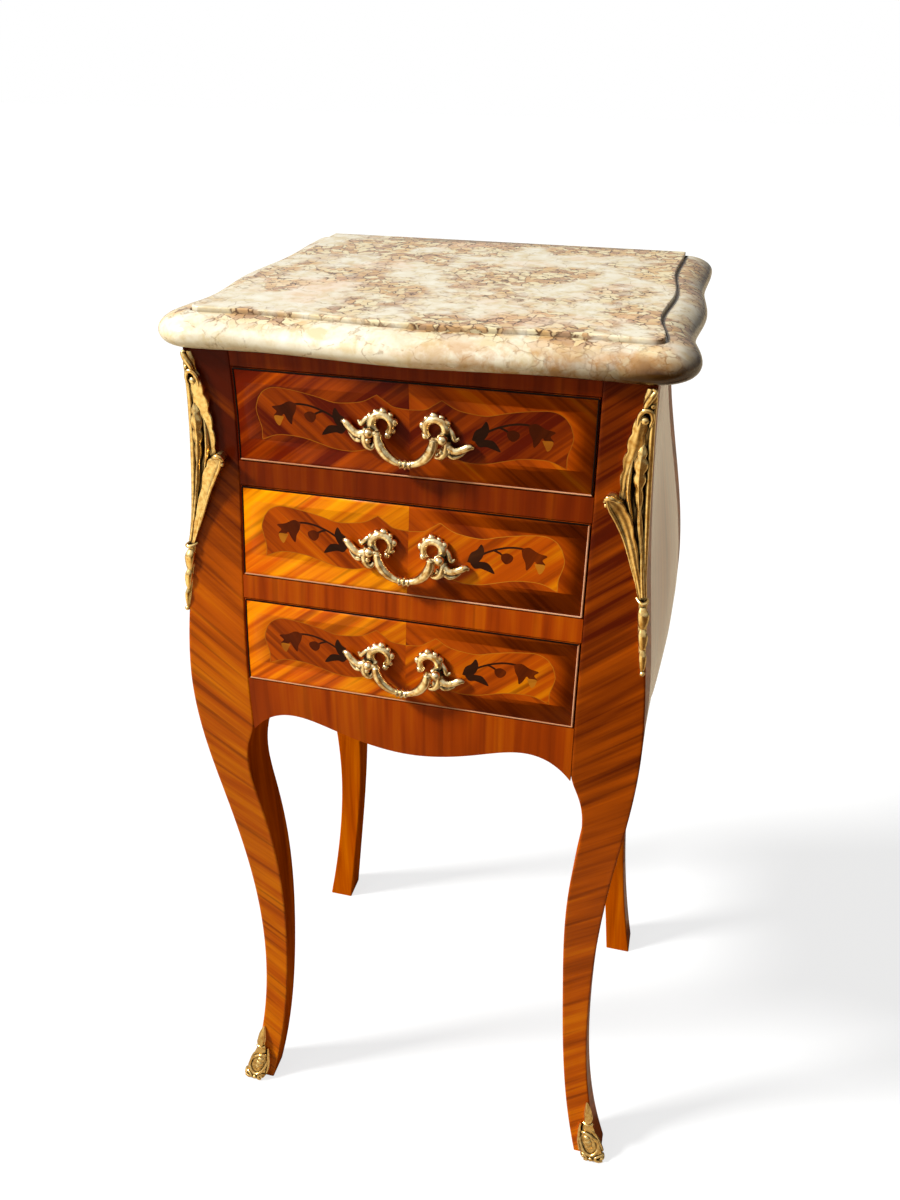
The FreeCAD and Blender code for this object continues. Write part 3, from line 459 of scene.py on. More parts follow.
# Tulipwood-like veneer under french polish: orange-brown with dark red streaks, satin
VENEER = WoodFinish("polished_tulipwood_veneer", "#541000", "#AA4600", "#EC9A00", "#3E0A00", 0.85)
# The same veneer on the legs: narrower in its colours, with a calmer figure
LEG_VENEER = WoodFinish("diagonal_tulipwood_veneer", "#4A1000", "#A84A00", "#DC8200", "#400E00", 0.72)
# The same veneer laid upright on rails and apron: calmer and redder
RAIL_VENEER = WoodFinish(
    "calm_tulipwood_veneer", "#6C2000", "#963800", "#B85A00", "#561800", line_strength=0.3
)
# Rails near the top, darker as painted shade under the marble's overhang
SHADED_RAIL = WoodFinish(
    "shaded_tulipwood_veneer", "#4E1200", "#6E2200", "#8C3A00", "#3C0C00", line_strength=0.3
)
# Side panels, polished to a mirror that takes the colour of the room at a slant
SIDE_VENEER = WoodFinish(
    "mirror_polished_veneer", "#742804", "#9C4208", "#BE6412", "#5E1E03", polish=0.85, shine=0.45
)
# Lower edges of the drawer fronts: pale, dry worn wood, also standing for a painted highlight along the edge
WORN_HIGHLIT_EDGE = WoodFinish(
    "worn_highlit_edge_wood", "#A86A44", "#C08A66", "#D2A486", "#8E5636", line_strength=0.2, polish=0.0
)
# Plain polished beech of the back legs and the legs' inner faces: even brown, dull
PLAIN_STAINED = WoodFinish(
    "stained_polished_beech", "#762A00", "#A84800", "#C86A00", "#662200",
    line_strength=0.2, polish=0.0, shine=0.0,
)
# Edges of the drawer fronts in near black, as painted shade of the gap round each drawer
GAP_SHADE_EDGE = WoodFinish("gap_shade_edge_wood", "#0E0502", "#160804", "#1E0C05", "#0A0402", polish=0.0)
# Dyed and shaded inlay woods: nearly black leaves, scorched petals, pale boxwood line
LEAF_INLAY = WoodFinish("dyed_leaf_inlay", "#1E0B03", "#2C1206", "#44210B", "#140702", line_strength=0.2)
PETAL_INLAY = WoodFinish("shaded_petal_inlay", "#3A1000", "#521A00", "#742C00", "#280900", line_strength=0.3)
PALE_INLAY = WoodFinish("boxwood_inlay", "#8E4E0C", "#A86412", "#BE7C22", "#784008", line_strength=0.2)
# Unpolished oak of drawers, runners and back: dry, pale brown
CARCASE_OAK = WoodFinish(
    "plain_oak", "#86643C", "#A4804F", "#BB9966", "#735230", line_strength=0.35, roughness=0.62, polish=0.0
)
# Breccia ground and polished by hand: soft gloss over cream and tan
MARBLE = MarbleFinish("polished_breccia_marble")
# Gilt castings, burnished on the crests: worn pale on the handles and warmer on the corners
HANDLE_GILT = BronzeFinish("pale_gilt_bronze", "#F6E2B0", "#BE8C46", "#1C1006", 0.22)
CORNER_GILT = BronzeFinish("warm_gilt_bronze", "#F6D48C", "#CE9C50", "#1A0C04", 0.2)


class Materials:
    """The finishes of this piece, each built once."""

    def __init__(self) -> None:
        """Builds every material."""
        self.veneer = VENEER.material(Grain.MAPPED)
        self.leg = LEG_VENEER.material(Grain.MAPPED)
        self.rail = RAIL_VENEER.material(Grain.UPRIGHT_ON_FRONT)
        self.shaded_rail = SHADED_RAIL.material(Grain.UPRIGHT_ON_FRONT)
        self.side = SIDE_VENEER.material(Grain.UPRIGHT_ON_SIDE)
        # Painted shade of the drawer gaps, in near black
        self.black = GAP_SHADE_EDGE.material(Grain.ALONG_WIDTH)
        # Worn wood with a painted highlight, for the drawer edges
        self.worn = WORN_HIGHLIT_EDGE.material(Grain.ALONG_WIDTH)
        self.plain = PLAIN_STAINED.material(Grain.MAPPED)
        self.leaf = LEAF_INLAY.material(Grain.MAPPED)
        self.petal = PETAL_INLAY.material(Grain.MAPPED)
        self.pale = PALE_INLAY.material(Grain.MAPPED)
        self.oak_wide = CARCASE_OAK.material(Grain.ALONG_WIDTH)
        self.oak_deep = CARCASE_OAK.material(Grain.ALONG_DEPTH)
        self.marble = MARBLE.material()
        self.handle = HANDLE_GILT.material()
        self.corner = CORNER_GILT.material()


class Forge:
    """Geometry node trees for what follows a path or repeats, and the meshes they give."""

    def __init__(self) -> None:
        """Builds the two trees."""
        self.bar_tree = self.swept_bar()
        self.bead_tree = self.bead_row()

    def start(self, name: str) -> tuple[Tree, bpy.types.NodeOutputs, Socket]:
        """Makes a tree with the shared inputs.

        Args:
            name: The tree's name.
        Returns:
            The tree, its inputs, and each point's own thickness.
        """
        tree = bpy.data.node_groups.new(name, "GeometryNodeTree")
        for socket, kind in (("Geometry", "Geometry"), ("Fineness", "Int"), ("Metal", "Material")):
            tree.interface.new_socket(socket, in_out="INPUT", socket_type=f"NodeSocket{kind}")
        tree.interface.new_socket("Geometry", in_out="OUTPUT", socket_type="NodeSocketGeometry")
        source = add_node(tree, "NodeGroupInput")
        named = add_node(tree, "GeometryNodeInputNamedAttribute", ["thickness"], data_type="FLOAT")
        return tree, source, named["Attribute"]

    def close(self, tree: Tree, source: bpy.types.NodeOutputs, shape: Socket) -> Tree:
        """Ends a tree in realized, smooth geometry with its material.

        Args:
            tree: The tree.
            source: Its inputs.
            shape: The geometry so far.
        Returns:
            The finished tree.
        """
        real = add_node(tree, "GeometryNodeRealizeInstances", {"Geometry": shape})[0]
        smooth = add_node(tree, "GeometryNodeSetShadeSmooth", {"Geometry": real})[0]
        parts = {"Geometry": smooth, "Material": source["Metal"]}
        add_node(tree, "NodeGroupOutput", [add_node(tree, "GeometryNodeSetMaterial", parts)[0]])
        return tree

    def swept_bar(self) -> Tree:
        """Lays a round bar along each run of edges, as thick as the points say.

        Returns:
            The tree.
        """
        tree, source, thickness = self.start("swept_bar")
        curve = add_node(tree, "GeometryNodeMeshToCurve", {"Mesh": source["Geometry"]})[0]
        parts = {"Resolution": source["Fineness"], "Radius": 1.0}
        ring = add_node(tree, "GeometryNodeCurvePrimitiveCircle", parts)["Curve"]
        parts = {"Curve": curve, "Profile Curve": ring, "Scale": thickness, "Fill Caps": True}
        return self.close(tree, source, add_node(tree, "GeometryNodeCurveToMesh", parts)[0])

    def bead_row(self) -> Tree:
        """Sets a bead on each point, as big as the point says.

        Returns:
            The tree.
        """
        tree, source, thickness = self.start("bead_row")
        parts = {"Radius": 1.0, "Subdivisions": source["Fineness"]}
        ball = add_node(tree, "GeometryNodeMeshIcoSphere", parts)["Mesh"]
        parts = {"Points": source["Geometry"], "Instance": ball, "Scale": thickness}
        return self.close(tree, source, add_node(tree, "GeometryNodeInstanceOnPoints", parts)[0])

    def run(
        self, tree: Tree, points: Points, edges: list, sizes: Sequence[float], fineness: int, metal: Material
    ) -> Shape:
        """Runs a tree on a set of points.

        Args:
            tree: The tree.
            points: Places in metres.
            edges: Pairs of point numbers.
            sizes: Thickness at each point, in metres.
            fineness: The tree's fineness input.
            metal: The tree's material input.
        Returns:
            Points and faces of the result.
        """
        seed = bpy.data.meshes.new("seed")
        seed.from_pydata([tuple(point) for point in points], edges, [])
        seed.attributes.new("thickness", "FLOAT", "POINT").data.foreach_set("value", list(sizes))
        holder = bpy.data.objects.new("seed", seed)
        bpy.context.scene.collection.objects.link(holder)
        modifier = holder.modifiers.new("forge", "NODES")
        modifier.node_group = tree
        sockets = {item.name: item.identifier for item in tree.interface.items_tree if item.in_out == "INPUT"}
        modifier[sockets["Fineness"]] = fineness
        modifier[sockets["Metal"]] = metal
        bpy.context.view_layer.update()
        evaluated = holder.evaluated_get(bpy.context.evaluated_depsgraph_get())
        mesh = bpy.data.meshes.new_from_object(evaluated)
        places = np.array([vertex.co for vertex in mesh.vertices], float)
        faces = [tuple(polygon.vertices) for polygon in mesh.polygons]
        bpy.data.objects.remove(holder)
        bpy.data.meshes.remove(mesh)
        return places, faces

    def bars(
        self, paths: Iterable[tuple[Points, Sequence[float]]], metal: Material, sides: int = 12
    ) -> Shape:
        """Sweeps bars along paths.

        Args:
            paths: Points and thicknesses of each path, in metres.
            metal: Material of the bars.
            sides: Sides of a bar's section.
        Returns:
            The bars' shape.
        """
        points: list = []
        edges: list = []
        sizes: list[float] = []
        for path, thickness in paths:
            first = len(points)
            points += [tuple(point) for point in path]
            sizes += [float(value) for value in thickness]
            edges += [(first + i, first + i + 1) for i in range(len(path) - 1)]
        return self.run(self.bar_tree, np.array(points), edges, sizes, sides, metal)

    def beads(self, rows: Sequence, metal: Material, fineness: int = 3) -> Shape:
        """Puts a bead on each point, from rows of a place and a size in metres."""
        places, sizes = zip(*rows)
        return self.run(self.bead_tree, np.array(places), [], sizes, fineness, metal)


def joined(shapes: Iterable[Shape]) -> Shape:
    """Puts several shapes into one.

    Args:
        shapes: The shapes.
    Returns:
        All their points and faces.
    """
    points: list[Points] = []
    faces: Faces = []
    count = 0
    for places, rings in shapes:
        points.append(places)
        faces += [tuple(index + count for index in ring) for ring in rings]
        count += len(places)
    return np.vstack(points), faces


def fine_curve(points: Sequence, steps: int = 8) -> Points:
    """Smooth run through a few points, by cubic pieces with even tangents.

    Args:
        points: Control points with any number of values each.
        steps: Pieces between two control points.
    Returns:
        The finer points, ends included.
    """
    control = np.array(points, float)
    padded = np.vstack([2 * control[0] - control[1], control, 2 * control[-1] - control[-2]])
    t = np.linspace(0, 1, steps, endpoint=False)[:, None]
    rows = []
    for a, b, c, d in zip(padded, padded[1:], padded[2:], padded[3:]):
        square = 2 * a - 5 * b + 4 * c - d
        cube = 3 * b - a - 3 * c + d
        rows.append(0.5 * (2 * b + (c - a) * t + square * t**2 + cube * t**3))
    return np.vstack(rows + [control[-1:]])


def clamped_curve(points: Sequence, start: Sequence, end: Sequence, steps: int) -> Points:
    """Cubic through points with set end directions, as even in its bending as a drawn spline.

    Args:
        points: Points in a plane.
        start: Unit direction at the first point.
        end: Unit direction at the last point.
        steps: Number of pieces in all.
    Returns:
        Points along the curve.
    """
    control = np.array(points, float)
    gaps = np.linalg.norm(np.diff(control, axis=0), axis=1)
    place = np.concatenate([[0], np.cumsum(gaps)])
    count = len(control)
    matrix = np.zeros((count, count))
    right = np.zeros_like(control)
    for i, way in ((0, start), (-1, end)):
        matrix[i, i] = 1
        right[i] = way
    for i in range(1, count - 1):
        before, after = gaps[i - 1], gaps[i]
        matrix[i, i - 1 : i + 2] = (after, 2 * (before + after), before)
        slope_before = (control[i] - control[i - 1]) / before
        slope_after = (control[i + 1] - control[i]) / after
        right[i] = 3 * (after * slope_before + before * slope_after)
    slopes = np.linalg.solve(matrix, right)
    rows = []
    for at in np.linspace(0, place[-1], steps + 1):
        i = min(np.searchsorted(place, at, side="right") - 1, count - 2)
        t = (at - place[i]) / gaps[i]
        rows.append(
            (2 * t**3 - 3 * t**2 + 1) * control[i]
            + (t**3 - 2 * t**2 + t) * gaps[i] * slopes[i]
            + (3 * t**2 - 2 * t**3) * control[i + 1]
            + (t**3 - t**2) * gaps[i] * slopes[i + 1]
        )
    return np.array(rows)


def section_boxes(node: str, heights: Points) -> Points:
    """Level cuts through a solid.

    Args:
        node: The solid's name.
        heights: Heights of the cuts, in metres.
    Returns:
        Lowest x, highest x, lowest y and highest y of each cut.
    """
    mesh = frame["nodes"][node].data
    mesh.calc_loop_triangles()
    places = np.array([vertex.co for vertex in mesh.vertices], float)
    corners = places[np.array([triangle.vertices for triangle in mesh.loop_triangles])]
    starts = corners.reshape(-1, 3)
    ends = np.roll(corners, -1, axis=1).reshape(-1, 3)
    rows = []
    for height in heights:
        low = starts[:, 2] - height
        high = ends[:, 2] - height
        crossing = (low * high <= 0) & (np.abs(low - high) > 1e-9)
        share = (low[crossing] / (low[crossing] - high[crossing]))[:, None]
        cut = starts[crossing] + (ends[crossing] - starts[crossing]) * share
        rows.append((cut[:, 0].min(), cut[:, 0].max(), cut[:, 1].min(), cut[:, 1].max()))
    return np.array(rows)


def lofted(rings: Sequence[Points]) -> Shape:
    """Lays a skin through closed rings, with flat ends.

    Args:
        rings: Rings of equal length, in order.
    Returns:
        The closed shape.
    """
    count = len(rings[0])
    faces: Faces = []
    for level in range(len(rings) - 1):
        low = level * count
        for i in range(count):
            j = (i + 1) % count
            faces.append((low + i, low + j, low + count + j, low + count + i))
    faces.append(tuple(range(count))[::-1])
    faces.append(tuple(range((len(rings) - 1) * count, len(rings) * count)))
    return np.vstack(rings), faces


def make_piece(
    name: str,
    shape: Shape,
    materials: Sequence[Material],
    body: str,
    stands_for: Sequence[str] = (),
) -> bpy.types.Object:
    """Makes a finished piece at the origin, riding on its body.

    Args:
        name: The piece's name.
        shape: Points in metres and faces.
        materials: Its materials, by face number.
        body: The body it moves with.
        stands_for: Solids that it replaces.
    Returns:
        The new object.
    """
    points, faces = shape
    mesh = bpy.data.meshes.new(name)
    mesh.from_pydata([tuple(point) for point in points], [], faces)
    mesh.validate()
    mesh.polygons.foreach_set("use_smooth", [True] * len(mesh.polygons))
    mesh.set_sharp_from_angle(angle=SMOOTH_ANGLE)
    for material in materials:
        mesh.materials.append(material)
    piece = bpy.data.objects.new(name, mesh)
    bpy.context.scene.collection.objects.link(piece)
    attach(piece, body)
    if stands_for:
        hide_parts(*stands_for)
    LOG.info("%s: %d faces on %s", name, len(mesh.polygons), body)
    return piece


def set_grain(piece: bpy.types.Object, lies: Sequence, light_and_shade: Sequence[float]) -> None:
    """Writes the grain map and the painted light and shade of each face.

    Args:
        piece: The piece.
        lies: Along and across the grain, in metres, for each face corner.
        light_and_shade: Painted light and shade for each face, lighter or darker.
    """
    mesh = piece.data
    layer = mesh.uv_layers.new(name="grain")
    layer.data.foreach_set("uv", np.array(lies, np.float32).ravel())
    mesh.attributes.new("painted_light", "FLOAT", "FACE").data.foreach_set("value", np.array(light_and_shade, np.float32))


def turned(across: float, up: float, degrees: float) -> tuple[float, float]:
    """Place along and across a grain that lies at an angle to the horizontal."""
    angle = math.radians(degrees)
    return across * math.cos(angle) + up * math.sin(angle), up * math.cos(angle) - across * math.sin(angle)


def set_patina(piece: bpy.types.Object, reach: float = 0.006, strength: float = 3.6) -> None:
    """Darkens the recesses of a piece.

    Args:
        piece: The piece.
        reach: How near another surface shades a point, in metres.
        strength: How fast a recess turns dark.
    """
    rays = 14
    lift = 0.0002
    free_share = 0.12
    mesh = piece.data
    tree = BVHTree.FromPolygons([v.co for v in mesh.vertices], [tuple(p.vertices) for p in mesh.polygons])
    golden = math.pi * (3 - math.sqrt(5))
    spread = []
    for i in range(rays):
        up = 1 - (i + 0.5) / rays
        side = math.sqrt(1 - up * up)
        spread.append(Vector((side * math.cos(golden * i), side * math.sin(golden * i), up)))
    shades = []
    for vertex in mesh.vertices:
        turn = vertex.normal.to_track_quat("Z", "Y")
        start = vertex.co + vertex.normal * lift
        hits = 0.0
        for direction in spread:
            distance = tree.ray_cast(start, turn @ direction, reach)[3]
            if distance is not None:
                hits += 1 - distance / reach
        shades.append(min(1.0, max(0.0, strength * (hits / rays - free_share))))
    mesh.attributes.new("patina", "FLOAT", "POINT").data.foreach_set("value", shades)


@dataclass
class CabrioleLeg:
    """One leg from floor to top, with rounded arrises and diagonal veneer on its outer faces."""

    end: str
    side: str
    levels: int = 150
    arris: float = 0.0011
    support: float = 0.0012
    lean_degrees: float = 38.0
    facing: float = 0.7
    side_shift: float = 0.37
    side_painted_light: float = -0.03
    # Painted shade on the front faces by height: darker towards the top, where the marble and the corner
    # mount cast their shadow
    shade_heights: tuple = (0.2, 0.4, 0.53, 0.66)
    left_shades: tuple = (0.05, 0.05, 0.0, -0.32)
    right_shades: tuple = (0.01, -0.1, -0.2, -0.26)

    def rings(self, node: str) -> list[Points]:
        """Level outlines of the leg.

        Args:
            node: The leg's solid.
        Returns:
            The rings, from the floor up.
        """
        low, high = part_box(node)
        heights = np.linspace(low.z + CUT_EDGE, high.z - CUT_EDGE, self.levels)
        boxes = section_boxes(node, heights)
        heights[0] = low.z
        heights[-1] = high.z
        kernel = np.array([1, 3, 4, 3, 1]) / 12
        smooth = boxes.copy()
        for column in range(4):
            smooth[2:-2, column] = np.convolve(boxes[:, column], kernel, "valid")
        rings = []
        for (x0, x1, y0, y1), z in zip(smooth, heights):
            ring = []
            for x, y, start in ((x1, y0, -90), (x1, y1, 0), (x0, y1, 90), (x0, y0, 180)):
                centre_x = x - math.copysign(self.arris, x - (x0 + x1) / 2)
                centre_y = y - math.copysign(self.arris, y - (y0 + y1) / 2)
                turns = np.radians(start + QUARTER)
                out = np.column_stack([np.cos(turns), np.sin(turns)])
                along = np.column_stack([-np.sin(turns), np.cos(turns)])
                arc = self.arris * out + (centre_x, centre_y)
                ring += [arc[0] - self.support * along[0], *arc, arc[-1] + self.support * along[-1]]
            rings.append(np.column_stack([ring, np.full(len(ring), z)]))
        return rings

    def build(self, materials: Materials) -> None:
        """Lofts the leg and lays its veneer.

        Args:
            materials: The finishes.
        """
        node = f"leg_{self.end}_{self.side}"
        points, faces = lofted(self.rings(node))
        woods = [materials.leg, materials.plain]
        piece = make_piece(f"{node}_veneered", (points, faces), woods, "case", [node])
        sign = 1 if self.side == "right" else -1
        front_shades = self.right_shades if self.side == "right" else self.left_shades
        lies = []
        light_and_shade = []
        for polygon in piece.data.polygons:
            normal = polygon.normal
            out = normal.x * sign > self.facing
            front = normal.y < -self.facing
            veneered_front = front and self.end == "front"
            polygon.material_index = 0 if out or veneered_front or abs(normal.z) > self.facing else 1
            for index in polygon.vertices:
                x, y, z = points[index]
                if veneered_front:
                    lies.append(turned(x, z, sign * self.lean_degrees))
                elif out:
                    lies.append(turned(y + self.side_shift, z, -self.lean_degrees))
                else:
                    lies.append((z, x + y))
            # Painted shade by height on the front faces
            front_shade = float(np.interp(polygon.center.z, self.shade_heights, front_shades))
            light_and_shade.append(front_shade if front else self.side_painted_light)
        set_grain(piece, lies, light_and_shade)


@dataclass
class SidePanel:
    """Double-curved side with upright veneer."""

    side: str

    def build(self, materials: Materials) -> None:
        """Copies the solid with even shading.

        Args:
            materials: The finishes.
        """
        node = f"side_panel_{self.side}"
        source = bmesh.new()
        source.from_mesh(frame["nodes"][node].data)
        bmesh.ops.remove_doubles(source, verts=source.verts, dist=1e-5)
        points = np.array([vertex.co for vertex in source.verts], float)
        source.verts.index_update()
        faces = [tuple(vertex.index for vertex in face.verts) for face in source.faces]
        source.free()
        make_piece(f"{node}_veneered", (points, faces), [materials.side], "case", [node])


@dataclass
class MarbleTop:
    """Serpentine slab with rounded lip, thumb moulding and raised level field, in millimetres."""

    lip_height: float = 8.0
    lip_inset: float = 9.0
    tier_inset: float = 21.0
    tier_step: float = 3.0
    ear_radius: float = 30.0
    dip: float = 2.0
    dip_from_ear: float = 40.0
    bow: float = 4.5
    waist: float = 5.0
    waist_from_ear: float = 37.0
    bulge: float = -0.5
    bulge_from_ear: float = 112.0
    rear_waist: float = 4.0
    rear_waist_from_ear: float = 175.0
    edge_rounding: float = 0.9
    quirk: tuple = ((0.3, 0.9), (1.2, 1.1), (1.5, 0.6))
    steps: int = 14
    run_steps: int = 56
    rear_steps: int = 9

    def outline(self, inset: float, z: float) -> Points:
        """Closed outline at one height, drawn in from the widest line.

        Args:
            inset: How far it is drawn in.
            z: Its height.
        Returns:
            Points round the slab in metres, from the left ear along the front.
        """
        low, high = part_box("marble_top")
        wide = high.x / MM
        ear_x = wide - self.ear_radius
        ear_front = low.y / MM + self.bow
        ear_y = ear_front + self.ear_radius
        front = ear_front + inset
        side = wide - inset
        across = [
            (-ear_x, front),
            (self.dip_from_ear - ear_x, front + self.dip),
            (0, front - self.bow),
            (ear_x - self.dip_from_ear, front + self.dip),
            (ear_x, front),
        ]
        back = [
            (side, ear_y),
            (side - self.waist, ear_y + self.waist_from_ear),
            (side + self.bulge, ear_y + self.bulge_from_ear),
            (side - self.rear_waist, ear_y + self.rear_waist_from_ear),
            (side + self.bulge, high.y / MM),
        ]
        front_run = clamped_curve(across, (1, 0), (1, 0), self.run_steps)
        angles = np.radians(np.linspace(-90, 0, self.steps + 1))[1:-1]
        radius = self.ear_radius - inset
        right_ear = np.stack([ear_x + radius * np.cos(angles), ear_y + radius * np.sin(angles)], axis=1)
        right_run = clamped_curve(back, (0, 1), (0, 1), self.run_steps)
        flip = np.array((-1, 1))
        rear_run = np.linspace(right_run[-1], right_run[-1] * flip, self.rear_steps)[1:-1]
        right = np.vstack([right_ear, right_run])
        ring = np.vstack([front_run, right, rear_run, (right * flip)[::-1]])
        return np.column_stack([ring, np.full(len(ring), z)]) * MM

    def build(self, materials: Materials) -> None:
        """Stacks the outlines into the moulded slab.

        Args:
            materials: The finishes.
        """
        low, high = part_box("marble_top")
        widest = low.z / MM + self.lip_height
        top = high.z / MM
        rise = top - self.tier_step - widest
        shares = np.linspace(1, 0, self.steps, endpoint=False)
        lip = [(-share, self.lip_inset, self.lip_height) for share in shares]
        thumb = [(share, self.tier_inset, rise) for share in np.linspace(0, 1, self.steps + 1)]
        rings = []
        for share, inset, height in lip + thumb:
            angle = math.pi / 2 * share
            rings.append(self.outline(inset * (1 - math.cos(angle)), widest + height * math.sin(angle)))
        for inward, drop in self.quirk:
            rings.append(self.outline(self.tier_inset + inward, top - self.tier_step - drop))
        edge = self.edge_rounding
        step = self.tier_inset + self.quirk[-1][0]
        for angle in np.radians(QUARTER):
            inset = step + edge * (1 - math.cos(angle))
            rings.append(self.outline(inset, top - edge * (1 - math.sin(angle))))
        rings.append(self.outline(step + 2 * edge, top))
        shape = lofted(rings)
        slab = make_piece("marble_top_moulded", shape, [materials.marble], "case", ["marble_top"])
        set_patina(slab, reach=0.004, strength=2.0)


# Half of the cartouche from the middle outwards, across and down from the opening's top, in millimetres
CARTOUCHE_TOP = (
    ((0, 19), (10, 18), (15, 15), (21, 11)),
    ((21, 11), (30, 16), (40, 18), (50, 18.5), (60, 16), (70, 14), (80, 12.5), (90, 12), (97, 15), (101, 20)),
    ((101, 20), (103, 27), (102, 33), (100, 40), (100, 48)),
)
CARTOUCHE_FOOT = (
    (100, 48), (90, 44), (80, 43.5), (70, 44.5), (60, 47), (50, 49.5), (38, 50), (22, 47), (8, 51.5), (0, 58)
)
# Right spray, measured in the same way
SPRAY_LEAVES = (
    ((40, 35), (42, 29), (46, 26), (49, 22), (51, 27), (49, 32.5), (45, 36)),
    ((42, 36), (47, 34), (53, 34), (56, 36.5), (58.5, 41), (53, 39.5), (49, 38.5), (45, 39)),
)
SPRAY_STEMS = (
    ((44, 33), (52, 27.5), (60, 24), (68, 22), (76, 22), (84, 24.5)),
    ((57, 25), (61, 26.5), (64, 28.5)),
)
SPRAY_PETALS = (
    ((62, 27.5), (66, 26), (70, 28), (69, 31.5), (65.5, 33.5), (62.5, 31)),
    (
        (75, 22), (80, 20.5), (86, 23.5), (92, 25), (89, 28), (91, 31),
        (86, 31), (84, 29.5), (82, 33), (79, 36), (78, 31), (76, 27),
    ),
)
SPRAY_PALE = (((84, 31), (90.5, 31), (90, 35), (87.5, 37.5), (85.5, 34)),)


class Region(Enum):
    """Parts of a drawer's marquetry: material number and grain lean on the right half, in degrees."""

    BORDER = (0, -38)
    FIELD = (0, 40)
    LINE = (3, 0)
    LEAF = (1, 25)
    STEM = (1, 0)
    PETAL = (2, 60)
    PALE = (3, 20)


def inside(point: Sequence[float], outline: Points) -> bool:
    """Tells whether a point lies within a closed outline.

    Args:
        point: The point.
        outline: Points round the outline.
    Returns:
        True if it lies within.
    """
    x, y = point
    x0, y0 = outline[:, 0], outline[:, 1]
    x1, y1 = np.roll(x0, -1), np.roll(y0, -1)
    spans = (y0 > y) != (y1 > y)
    rise = np.where(y1 == y0, 1e-12, y1 - y0)
    return bool(np.count_nonzero(spans & (x < (x1 - x0) * (y - y0) / rise + x0)) % 2)


def offset(outline: Points, distance: float) -> Points:
    """Moves a closed outline sideways.

    Args:
        outline: Points round the outline.
        distance: A small distance.
    Returns:
        The moved outline.
    """
    along = np.roll(outline, -1, axis=0) - np.roll(outline, 1, axis=0)
    along = along / np.linalg.norm(along, axis=1)[:, None]
    return outline + distance * np.column_stack([along[:, 1], -along[:, 0]])


def ribbon(path: Points, width: float) -> Points:
    """Draws a narrow closed outline along a path.

    Args:
        path: Points along the path.
        width: Width of the outline.
    Returns:
        Points round it.
    """
    along = np.gradient(path, axis=0)
    along = along / np.linalg.norm(along, axis=1)[:, None]
    side = np.column_stack([-along[:, 1], along[:, 0]]) * width / 2
    return np.vstack([path + side, (path - side)[::-1]])


